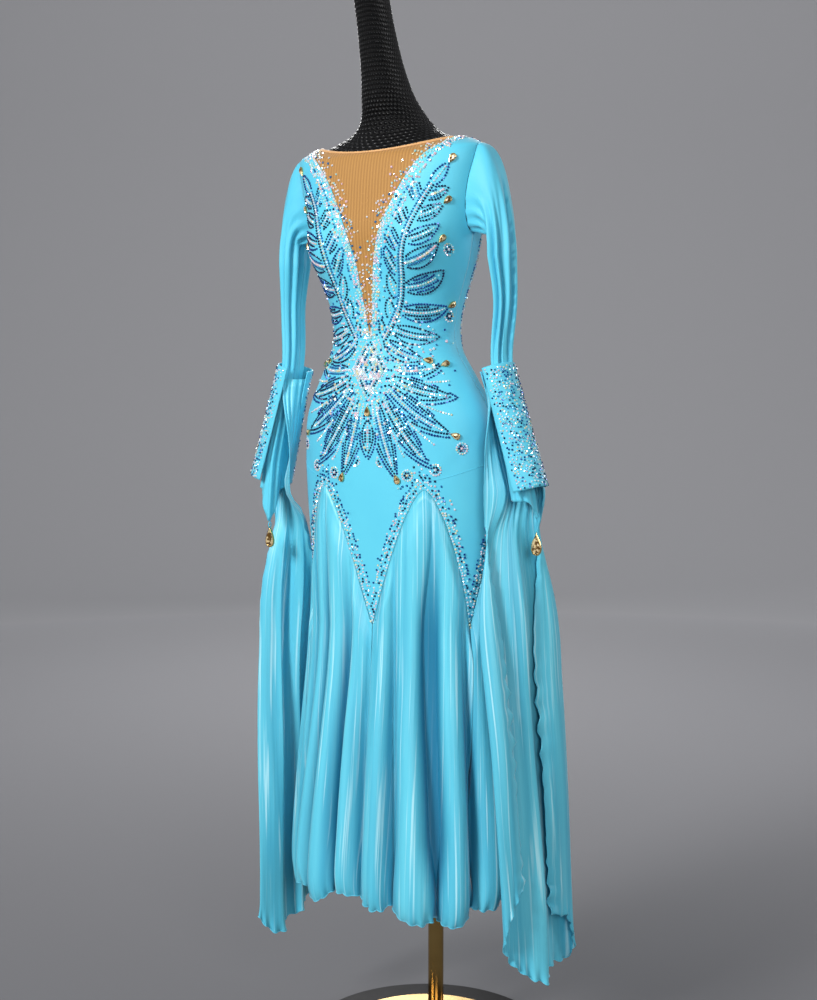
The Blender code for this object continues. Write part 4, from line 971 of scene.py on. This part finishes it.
def buildGodet(number):
    grid, uv, foldShade = godetGrid(number)
    made = clothPiece("godet%d" % (number + 1), [(grid, uv)], satin, skirt["thickness"], flip=True,
                      foldShade=foldShade)
    hang(made, "godet_%d" % (number + 1))
    roll = sweptTube("godetEdge%d" % (number + 1), grid[-1], skirt["edgeRadius"], satin, sides=5)
    hang(roll)


for number in range(bodySizes["godets"]):
    buildGodet(number)
print("skirt done")

# elastic loops and amber drops at the sleeves' points
pendant = dict(loopRadius=0.0009, loopBow=0.0035, stone=(0.0170, 0.0310), middleDrop=0.0225, overlap=0.00588,
               ringRadius=0.0006, ringHalf=(0.0022, 0.0026), ringLift=0.0175, segments=24)
# a pear stone's rings, each a share of its outline and a height: the back, the rim, and from rimLevels on the
# stone's facets
pearLevels = [(0.0, -0.30), (1.10, -0.30), (1.16, -0.05), (1.12, 0.16), (1.02, 0.20), (0.98, 0.14),
              (0.80, 0.42), (0.52, 0.56), (0.0, 0.58)]
rimLevels = 5


def buildPear(name, centre, right, up, out, size, segments):
    # a faceted stone in a rim: rings of one outline, whose half width is sin(a) * sin(a / 2), a from the tip
    angle = np.linspace(0, 2 * math.pi, segments + 1)
    width, height = size
    wide, high = -np.sin(angle) * np.sin(angle / 2) ** 1.1, np.cos(angle)
    grid = np.array([centre + columnOf(wide * share * width / 2) * right * 1.25
                     + columnOf(high * share * height / 2) * up + out * lift * width * 0.5
                     for share, lift in pearLevels])
    faces = gridFaces(*grid.shape[:2])[:, ::-1].tolist()
    slots = np.where(np.repeat(np.arange(len(pearLevels) - 1), segments) >= rimLevels, 0, 1)
    return pieceFrom(name, grid.reshape(-1, 3), faces, [amberGlass, goldMetal], smooth=False, slots=slots,
                     mergeBelow=1e-6)


def sideRing(centre, halfDepth, halfHeight, count):  # an upright ellipse that is flat to the side
    a = np.linspace(0, 2 * math.pi, count, endpoint=False)
    return centre + np.stack([np.zeros_like(a), halfDepth * np.sin(a), halfHeight * np.cos(a)], axis=-1)


def buildHand(word, lowest):
    # the loop hangs from the sleeve's lowest point, and the stone hangs in the loop by its ring
    name, length, radius = word.capitalize(), handPoints[word][2], pendant["loopRadius"]
    middle = lowest - [0, 0, 0.0002 + bodySizes["seam"] + radius + length / 2]
    loop = sweptTube("handLoop" + name, sideRing(middle, pendant["loopBow"], length / 2, 48), radius, jersey,
                     sides=10, closed=True)
    drop = 0.0005 + length + 2 * radius - pendant["overlap"] + bodySizes["seam"] + pendant["middleDrop"]
    centre = lowest - [0, 0, drop]
    right, out, up = np.array([(1.0, 0, 0), (0, -1.0, 0), (0, 0, 1.0)])
    stone = buildPear("pendant" + name, centre, right, up, out, pendant["stone"], pendant["segments"])
    path = sideRing(centre + up * pendant["ringLift"], *pendant["ringHalf"], 24)
    ring = sweptTube("pendantRing" + name, path, pendant["ringRadius"], goldMetal, sides=8, closed=True)
    hang(stone, "pendant_" + word)
    hang(ring)
    return hang(loop, "hand_loop_" + word)


for word, (sleeveMade, lowest) in arms.items():
    loop = buildHand(word, lowest)
print("hand points done")

# stones: small faceted domes laid on the cloth
stoneSizes = dict(blue=0.0044, pale=0.0041, bright=0.0054, vary=(0.88, 1.1), tilt=0.16, sides=6, gap=0.0047,
                  apart=0.0040, lift=0.0001)
domeLevels = [(1.0, 0.02), (0.60, 0.36)]  # the rim and the table: shares of the radius and of the size
paleShares = (0.50, 0.66, 0.86)  # of the pale stones, how many are of the first, second and third colour
paleKind, blueKind, navyKind, azureKind, brightKind = range(5)


def stonesPiece(name, centres, normals, kinds, scale=1.0):
    # every stone is one template of a table and slanted sides, spun and tilted at random on its own normal
    count, sides = len(centres), stoneSizes["sides"]
    sizes = np.select([kinds == paleKind, kinds == brightKind], [stoneSizes["pale"], stoneSizes["bright"]],
                      stoneSizes["blue"]) * chance.uniform(*stoneSizes["vary"], count) * scale
    pale = np.searchsorted(paleShares, chance.random(count), side="right")
    slots = np.where((kinds == paleKind) | (kinds == brightKind), pale, 3 + kinds.astype(int))
    helper = np.where(np.abs(normals[:, 2:]) > 0.8, np.array([[1.0, 0, 0]]), np.array([[0, 0, 1.0]]))
    first = unit(np.cross(helper, normals))
    second = np.cross(normals, first)
    tilt = chance.normal(0, stoneSizes["tilt"], (count, 2))
    leaning = unit(normals + first * tilt[:, :1] + second * tilt[:, 1:])
    first = unit(first - leaning * (first * leaning).sum(axis=1, keepdims=True))
    second = np.cross(leaning, first)
    corner = np.linspace(0, 2 * math.pi, sides, endpoint=False)[None]
    spin = (columnOf(chance.uniform(0, 2 * math.pi, count)) + corner)[..., None]
    around = first[:, None] * np.cos(spin) + second[:, None] * np.sin(spin)
    rims = [centres[:, None] + around * (columnOf(sizes) / 2 * share)[..., None]
            + upward[:, None] * (columnOf(sizes) * lift)[..., None]
            for (share, lift), upward in zip(domeLevels, (normals, leaning))]
    k = np.arange(sides)
    n = (k + 1) % sides
    start = np.arange(count)[:, None, None] * 2 * sides
    quads = (np.stack([k, n, n + sides, k + sides], axis=-1)[None] + start).reshape(-1, 4).tolist()
    caps = ((k + sides)[None, None] + start).reshape(-1, sides).tolist()
    made = pieceFrom(name, np.stack(rims, axis=1).reshape(-1, 3), quads + caps, paleStones + blueStones,
                     smooth=False, slots=np.concatenate([np.repeat(slots, sides), slots]))
    hang(made)


def toTurn(distance, station):  # turn at which the body's girth from the centre front reaches a distance
    steps = np.linspace(0, 110, 111)
    run = runAlong(bodyPoint(steps[None], columnOf(station)), 1)
    goal, row = np.abs(distance), np.arange(len(station))
    i = np.clip((run < goal[:, None]).sum(axis=1), 1, len(steps) - 1)
    share = (goal - run[row, i - 1]) / (run[row, i] - run[row, i - 1])
    return (steps[i - 1] + share) * np.sign(distance)


def turned(points):  # places of distance and station become places of turn and station
    return np.column_stack([toTurn(points[:, 0], points[:, 1]), points[:, 1:]])


def stoneSteps(line):  # distances a gap apart along a line, and the distance of each of its points
    run = runAlong(line)
    return np.arange(stoneSizes["gap"] / 2, run[-1], stoneSizes["gap"]), run


def strand(line, kind):  # stones a gap apart along a line
    at, run = stoneSteps(line)
    return np.column_stack([np.interp(at, run, line[:, 0]), np.interp(at, run, line[:, 1]),
                            np.full(len(at), kind)])


def toward(degrees):  # a step of length 1 in a direction that is turned from straight up
    return np.stack([np.sin(np.radians(degrees)), np.cos(np.radians(degrees))], axis=-1)


def beside(degrees):  # a step of length 1 square to that direction
    return np.stack([np.cos(np.radians(degrees)), -np.sin(np.radians(degrees))], axis=-1)


def leaf(start, heading, length, halfWidth, bend, kinds):
    # an arc for the midrib, an outline whose half width is a sine of the way along, and strands a gap apart
    count, pitch = 60, stoneSizes["gap"]
    t = np.linspace(0, 1, count)
    degrees = heading + bend * (t - 0.5)
    middle = start + np.cumsum(toward(degrees), axis=0) * length / count
    width = halfWidth * np.sin(math.pi * t**0.85) ** 0.8
    found = [strand(middle + beside(degrees) * (width * sign)[:, None], kinds[0]) for sign in (1, -1)]
    found.append(strand(middle[4:], kinds[2]))
    for k in range(1, int(halfWidth / pitch)):
        inside = width > (k + 0.60) * pitch
        if inside.sum() > 5:
            found += [strand((middle + beside(degrees) * (k * pitch * sign))[inside], kinds[1])
                      for sign in (1, -1)]
    return np.concatenate(found), middle[-1]


def rosette(middle):  # a bright stone in two rings: radius, count, kind
    found = []
    for radius, count, kind in ((0.0, 1, brightKind), (0.0046, 6, navyKind), (0.0090, 13, paleKind)):
        a = np.linspace(0, 2 * math.pi, count, endpoint=False)
        found.append(np.column_stack([middle[0] + radius * np.cos(a), middle[1] + radius * np.sin(a),
                                      np.full(count, kind)]))
    return np.concatenate(found)


def lozenge(middle, halfWidth, halfHeight, kinds):  # nested diamonds, a gap apart
    found = []
    for number, kind in enumerate(kinds):
        share = 1 - number * stoneSizes["gap"] * 1.12 / halfWidth
        if share > 0.05:
            size = np.array([halfWidth * share, halfHeight * share])
            found.append(strand(middle + size * [(0, 1), (1, 0), (0, -1), (-1, 0), (0, 1)], kind))
    return np.concatenate(found)


# the bodice's own design: a leafy branch on each side of the front, a lozenge at the waist and a fan below it
design = dict(
    # the branch's knots: distance from the centre front, and station
    branch=[(0.026, 1.262), (0.042, 1.288), (0.058, 1.320), (0.068, 1.360), (0.076, 1.400), (0.088, 1.440),
            (0.104, 1.478), (0.122, 1.508)],
    # leaves: way along the branch, angle from it, length, half width, bend
    leaves=[(0.00, 84, 0.078, 0.0125, -36), (0.12, 70, 0.086, 0.0140, -42), (0.02, -40, 0.030, 0.006, 18),
            (0.25, 62, 0.088, 0.0145, -44), (0.38, 58, 0.084, 0.0145, -44), (0.16, -34, 0.040, 0.008, 22),
            (0.51, 54, 0.078, 0.0135, -42), (0.64, 50, 0.066, 0.0125, -38), (0.30, -34, 0.050, 0.009, 26),
            (0.77, 44, 0.054, 0.0110, -34), (0.90, 38, 0.044, 0.0095, -26), (0.44, -38, 0.056, 0.010, 30),
            (0.58, -42, 0.060, 0.011, 34), (0.72, -44, 0.058, 0.011, 34), (0.86, -42, 0.050, 0.010, 32),
            (0.98, 6, 0.048, 0.009, -6)],
    leafDrops=(0, 3, 6, 9, 15),  # the leaves that end in an amber drop
    # the fan: angle from straight down, distance of the start, length, half width, bend
    fan=[(0, 0.082, 0.056, 0.0110, 0), (17, 0.046, 0.132, 0.0135, -10), (36, 0.040, 0.148, 0.0150, -20),
         (55, 0.038, 0.142, 0.0145, -26), (74, 0.038, 0.116, 0.0135, -30), (93, 0.040, 0.084, 0.0120, -32)],
    fanDrops=(1, 3, 5),
    fanMiddle=(0.0, 1.212),
    lozenge=(0.034, 0.054),
    # small flowers in the gaps
    flowers=[(0.142, 1.300), (0.052, 1.236), (0.026, 1.062), (0.074, 1.040), (0.122, 1.050), (0.166, 1.085),
             (0.160, 1.405)])
leafKinds = [(navyKind, blueKind, paleKind), (navyKind, navyKind, paleKind),
             (navyKind, azureKind, brightKind), (blueKind, navyKind, paleKind)]
lozengeKinds = (paleKind, navyKind, brightKind, blueKind, brightKind, navyKind, paleKind)


def branchPoints():
    knots = np.array(design["branch"])
    t = np.linspace(0, 1, 200)
    return np.stack([smoothCurve(t, np.linspace(0, 1, len(knots)), knots[:, k]) for k in (0, 1)], axis=1)


def leafyBranch():  # three strands and their leaves; also a drop's place and direction at some leaves' tips
    stem = branchPoints()
    heading = np.degrees(np.arctan2(*np.gradient(stem, axis=0).T))
    found = [strand(stem + beside(heading) * offset, kind)
             for kind, offset in ((paleKind, 0.0), (navyKind, 0.0042), (azureKind, -0.0042))]
    drops = []
    for number, (way, lean, length, halfWidth, bend) in enumerate(design["leaves"]):
        i = int(way * (len(stem) - 1))
        points, tip = leaf(stem[i], heading[i] + lean, length, halfWidth, bend, leafKinds[number % 4])
        found.append(points)
        end = heading[i] + lean + bend / 2
        if number in design["leafDrops"]:
            drops.append((*(tip + 0.008 * toward(end)), end))
    return found, drops


def fanOfLeaves(middle):  # leaves in a double outline with pale rays between them, and drops at some tips
    found, drops = [], []
    for number, (angle, start, length, halfWidth, bend) in enumerate(design["fan"]):
        low, between = 180 - angle, 180 - angle - 9
        root = middle + toward(low) * start
        points, tip = leaf(root, low, length, halfWidth, bend, leafKinds[(number + 1) % 4])
        ray, _ = leaf(middle + toward(between) * 0.044, between, length * 0.86, 0.0, bend, [paleKind] * 3)
        outer, _ = leaf(root, low, length + 0.010, halfWidth + 0.0048, bend, [blueKind] * 3)
        found += [points, ray, outer]
        end = low + bend / 2
        if number in design["fanDrops"]:
            drops.append((*(tip + 0.009 * toward(end)), end))
    return found, drops


def frontDesign():  # one half of it, in distance from the centre front and station, and its drops
    middle = np.array(design["fanMiddle"])
    waist = lozenge(middle + [0, 0.002], *design["lozenge"], lozengeKinds)
    branch, branchDrops = leafyBranch()
    fan, fanDrops = fanOfLeaves(middle)
    flowers = [rosette(place) for place in design["flowers"]]
    drops = [(middle[0], middle[1] - 0.068, 180.0)] + branchDrops + fanDrops
    return np.concatenate([waist] + branch + fan + flowers), np.array(drops)


def onBodice(turn, station):  # places just above the cloth, and its normals
    across = bodiceSurface(turn + 0.4, station) - bodiceSurface(turn - 0.4, station)
    upward = bodiceSurface(turn, station + 0.001) - bodiceSurface(turn, station - 0.001)
    normal = unit(np.cross(across, upward))
    return bodiceSurface(turn, station) + normal * stoneSizes["lift"], normal


def wellApart(places, gap):  # marks the first of any stones closer than a gap
    tree = KDTree(len(places))
    for i, place in enumerate(places):
        tree.insert(place, i)
    tree.balance()
    keep = np.ones(len(places), bool)
    for i, place in enumerate(places):
        if keep[i]:
            for _, j, _ in tree.find_range(place, gap):
                keep[j] &= j <= i
    return keep


# rows beside the nude panels' edges: distance from the edge, kind, and the station where a row starts; then
# how many loose stones there are and how far they spread
frontBand = dict(rows=[(0.0024, brightKind, 0), (0.0076, brightKind, 0), (0.0124, paleKind, 1.33),
                       (0.0168, azureKind, 1.36), (0.0212, brightKind, 1.42), (0.0258, paleKind, 1.47)],
                 loose=520, spread=0.014)
backBand = dict(rows=[(0.0024, brightKind, 0), (0.0074, paleKind, 0), (0.0118, azureKind, 0)], loose=160,
                spread=0.008)
bandWobble = dict(along=0.0005, turn=0.4)


def edgeBand(edge, middleTurn, band):
    # rows of stones beside a nude panel's edge, and loose ones that thin out on both of its sides
    count, loose = 500, band["loose"]
    station = np.linspace(edge[0][0] + 0.0005, bodySizes["neckline"] - 0.001, count)
    half = openingTurn(edge, station)
    perDegree = np.linalg.norm(bodyPoint(half + 0.5, station) - bodyPoint(half - 0.5, station), axis=-1)
    slope = np.gradient(half * perDegree, station)
    slant = np.sqrt(1 + np.minimum(np.abs(slope), 3) ** 2)
    found = []
    for mirror in (1, -1):
        for offset, kind, lowest in band["rows"]:
            shifted = mirror * (half + offset * slant / perDegree)
            signed = shifted if middleTurn == 0 else 180 - shifted
            at, run = stoneSteps(bodyPoint(signed, station))
            at = at + chance.normal(0, bandWobble["along"], len(at))
            wobble = chance.normal(0, bandWobble["turn"], len(at))
            row = np.column_stack([np.interp(at, run, signed) + wobble, np.interp(at, run, station),
                                   np.full(len(at), kind)])
            found.append(row[row[:, 1] > lowest])
        pick = chance.integers(20, count, loose)
        away = chance.normal(0.004, 1.0, loose) * band["spread"] * (0.35 + 0.65 * pick / count)
        shifted = mirror * np.maximum(half[pick] + away * slant[pick] / perDegree[pick], 1.0)
        signed = shifted if middleTurn == 0 else 180 - shifted
        kinds = chance.choice([paleKind] * 5 + [brightKind, azureKind], loose)
        found.append(np.column_stack([signed, station[pick], kinds]))
    return np.concatenate(found)


# rows: distance above the yoke's edge and kind
yokeStones = dict(rows=((0.0028, paleKind), (0.0076, navyKind), (0.0124, paleKind), (0.0172, blueKind)),
                  wobble=0.0009, turnedPale=0.2, present=0.9, loose=1300, looseFrom=0.016, looseFade=0.016,
                  highest=0.08)


def yokeRows():  # rows along the yoke's edge, some stones missing or pale, and loose ones above them
    turn = np.linspace(-180, 180, 4000)
    metresPerDegree = bodySizes["hipRadius"] * math.pi / 180
    line = np.stack([turn * metresPerDegree, yokeEdge(turn)], axis=1)
    slope = unit(np.gradient(line, axis=0))
    outward = np.stack([-slope[:, 1], slope[:, 0]], axis=1)
    rows = []
    for offset, kind in yokeStones["rows"]:
        shifted = line + outward * offset
        nearest = np.linalg.norm(line[::8][None] - shifted[:, None], axis=-1).min(axis=1)
        row = strand(shifted[nearest > offset * 0.93], kind)
        row[:, :2] += chance.normal(0, yokeStones["wobble"], row[:, :2].shape)
        row[chance.random(len(row)) < yokeStones["turnedPale"], 2] = paleKind
        rows.append(row[chance.random(len(row)) < yokeStones["present"]])
    count = yokeStones["loose"]
    spot = chance.uniform(-180, 180, count)
    lift = yokeStones["looseFrom"] + chance.exponential(yokeStones["looseFade"], count)
    kinds = chance.choice([paleKind, navyKind, azureKind], count)
    loose = np.column_stack([spot * metresPerDegree, yokeEdge(spot) + lift, kinds])
    rows.append(loose[lift < yokeStones["highest"]])
    found = np.concatenate(rows)
    found[:, 0] /= metresPerDegree
    return found


halo = dict(count=1500, height=1.225, across=0.050, up=0.055, widest=0.15)


def waistHalo():  # loose stones, a Gaussian cloud round the waist
    across, up = chance.normal(0, halo["across"], halo["count"]), chance.normal(0, halo["up"], halo["count"])
    kinds = chance.choice([paleKind, brightKind, azureKind, paleKind, blueKind], halo["count"])
    found = np.column_stack([across, halo["height"] + up, kinds])
    return turned(found[np.abs(across) < halo["widest"]])


def mirroredDesign():  # both halves of the front design, brighter towards the waist, and the drops
    points, drops = frontDesign()
    points = points[points[:, 0] > -0.0005]
    points = np.concatenate([points, points * [-1, 1, 1]])
    fromWaist = np.linalg.norm(points[:, :2] - design["fanMiddle"], axis=1)
    points[chance.random(len(points)) < 0.45 * np.exp(-((fromWaist / 0.075) ** 2)), 2] = brightKind
    return turned(points), turned(np.concatenate([drops, drops[1:] * [-1, 1, -1]]))


amberDrop = dict(size=(0.0100, 0.0150), lift=0.0022, clear=0.0088, segments=16)


def buildBodiceStones():  # every stone on the bodice keeps apart from the others and from the drops
    points, drops = mirroredDesign()
    nearWaist = waistHalo()
    groups = dict(frontEdgeStones=edgeBand(frontEdge, 0, frontBand),
                  backEdgeStones=edgeBand(backEdge, 180, backBand), bodiceDesign=points,
                  yokeStones=yokeRows(), waistStones=nearWaist)
    every = np.concatenate(list(groups.values()))
    owner = np.repeat(np.arange(len(groups)), [len(part) for part in groups.values()])
    centres, normals = onBodice(every[:, 0], every[:, 1])
    dropCentres, dropNormals = onBodice(drops[:, 0], drops[:, 1])
    keep = wellApart(centres, stoneSizes["apart"])
    for place in dropCentres:
        keep &= np.linalg.norm(centres - place, axis=1) > amberDrop["clear"]
    for number, name in enumerate(groups):
        mine = keep & (owner == number)
        stonesPiece(name, centres[mine], normals[mine], every[mine, 2])
    print("bodice stones:", int(keep.sum()))
    for number, (place, normal, lean) in enumerate(zip(dropCentres, dropNormals, drops[:, 2])):
        upward = unit(np.array([0, 0, 1.0]) - normal * normal[2])
        sideways, ahead = toward(lean)
        tip = -(np.cross(upward, normal) * sideways + upward * ahead)
        made = buildPear("amberDrop%d" % (number + 1), place + normal * amberDrop["lift"],
                         np.cross(tip, normal), tip, normal, amberDrop["size"], amberDrop["segments"])
        hang(made)


buildBodiceStones()

cuffStoneSizes = dict(count=11000, apart=0.0037, scale=0.84, lift=0.0002)


def cuffStones(side, word):  # loose upright streams of stones, thinning out away from the cuff's middle
    count = cuffStoneSizes["count"]
    share, w = chance.uniform(0.04, 0.94, count), chance.uniform(0.02, 0.995, count)
    streak = 0.55 + 0.45 * np.sin(share * 46 + 3 * np.sin(w * 5))
    dense = np.clip(1.9 - np.abs(share - 0.46) * 3.2, 0.25, 1) * streak
    some = chance.random(count) < dense
    share, w = share[some], w[some]
    kinds = chance.choice([paleKind, paleKind, paleKind, paleKind, azureKind, blueKind, navyKind], len(share))
    mine = wellApart(cuffPoint(side, share, w), cuffStoneSizes["apart"])
    share, w, kinds = share[mine], w[mine], kinds[mine]
    point = cuffPoint(side, share, w)
    across = cuffPoint(side, share + 0.004, w) - cuffPoint(side, share - 0.004, w)
    upward = cuffPoint(side, share, w - 0.004) - cuffPoint(side, share, w + 0.004)
    normal = unit(np.cross(across, upward))
    outwards = (point - [side * 0.23, bodySizes["waistY"] + cuff["along"], 0]) * [1, 1, 0]
    normal *= np.sign((normal * outwards).sum(axis=1, keepdims=True))
    stonesPiece("cuffStones" + word.capitalize(), point + normal * cuffStoneSizes["lift"], normal, kinds,
                cuffStoneSizes["scale"])


for side, word in ((1, "left"), (-1, "right")):
    cuffStones(side, word)
print("stones done")

studio = dict(floorRadius=5.0, wallRadius=8.0, wallHeight=7.0, world=(0.80, 0.82, 0.86), worldStrength=0.36,
              target=(0, -0.1, 1.05))


def buildStudio():  # a floor that bends up into a round wall, its paper darker near the dress
    paper = Finish("studioPaper", colours["paper"], 0.9, Specular_IOR_Level=0.1)
    x, y = paper.coordinate(0), paper.coordinate(1)
    outer = (((x * x + y * y) * (1 / studio["floorRadius"] ** 2)) ** 4.0).atMost(1.0)
    paper.feed(Base_Color=paper.mix(outer, colours["paperNear"], colours["paper"]))
    bend = np.linspace(0, math.pi / 2, 16)
    turnRadius = studio["wallRadius"] - studio["floorRadius"]
    curve = studio["floorRadius"] + turnRadius * np.sin(bend)
    radius = columnOf(np.concatenate([[0.0], curve, [studio["wallRadius"]]]))
    height = columnOf(np.concatenate([[0.0], turnRadius * (1 - np.cos(bend)), [studio["wallHeight"]]]))
    angle = np.linspace(0, 2 * math.pi, 97)[None]
    grid = np.stack(np.broadcast_arrays(radius * np.cos(angle), radius * np.sin(angle), height), axis=-1)
    floor = clothPiece("studioFloor", [(grid, grid[..., :2])], paper.material, 0)


# each light's place, what it points at, size and power
lights = dict(keyLight=((-1.0, -4.4, 3.0), studio["target"], 1.4, 232),
              fillLight=((3.6, -3.4, 2.4), studio["target"], 2.4, 106),
              backLight=((-2.6, 3.2, 2.8), studio["target"], 2.0, 85),
              backFill=((2.8, 3.4, 2.4), studio["target"], 2.2, 62),
              wallLight=((-1.0, 1.9, 4.4), (-4.2, 7.4, 1.3), 4.0, 270))


def addLight(name, place, target, size, power):
    made = bpy.data.lights.new(name, "AREA")
    made.shape = "DISK"
    made.size = size
    made.energy = power
    holder = bpy.data.objects.new(name, made)
    bpy.context.scene.collection.objects.link(holder)
    holder.location = place
    holder.rotation_euler = (Vector(target) - Vector(place)).to_track_quat("-Z", "Y").to_euler()


def addWorld():
    world = bpy.data.worlds.new("studio")
    bpy.context.scene.world = world
    world.use_nodes = True
    background = world.node_tree.nodes["Background"]
    background.inputs["Color"].default_value = (*studio["world"], 1)
    background.inputs["Strength"].default_value = studio["worldStrength"]


buildStudio()
for name, light in lights.items():
    addLight(name, *light)
addWorld()
bpy.context.scene.view_settings.view_transform = "Standard"

# the camera's place and heading, and where the waist and the base's middle stand in a picture of this size
view = dict(place=(1.4539, -2.2535, 1.21), heading=34.0, waistAcross=396.8, focal=1529.0, baseDown=1030.0,
            width=817.0, height=1000.0, baseLevel=0.02)


def addCamera():
    # it looks level along its heading, then turns aside and tips down until both stand where they should
    place, heading = np.array(view["place"]), math.radians(view["heading"])
    aside = math.atan((view["waistAcross"] - view["width"] / 2) / view["focal"])
    forward = np.array([-math.sin(heading), math.cos(heading), 0])
    right = np.array([math.cos(heading), math.sin(heading), 0])
    ahead = forward * math.cos(aside) - right * math.sin(aside)
    across = right * math.cos(aside) + forward * math.sin(aside)
    base = np.array([0, 0, view["baseLevel"]]) - place
    baseTilt = math.atan((view["baseDown"] - view["height"] / 2) / view["focal"])
    down = math.atan2(-base[2], base @ ahead) - baseTilt
    up = np.array([0, 0, 1]) * math.cos(down) + ahead * math.sin(down)
    look = ahead * math.cos(down) - np.array([0, 0, 1]) * math.sin(down)
    camera = bpy.data.cameras.new("camera")
    camera.lens, camera.sensor_width = view["focal"] * 36 / view["height"], 36
    camera.clip_start, camera.clip_end = 0.05, 60
    holder = bpy.data.objects.new("camera", camera)
    bpy.context.scene.collection.objects.link(holder)
    turns = np.column_stack([across, up, -look, place]).tolist()
    holder.matrix_world = Matrix(turns + [[0, 0, 0, 1]])
    bpy.context.scene.camera = holder


addCamera()
print("studio, light and camera done")
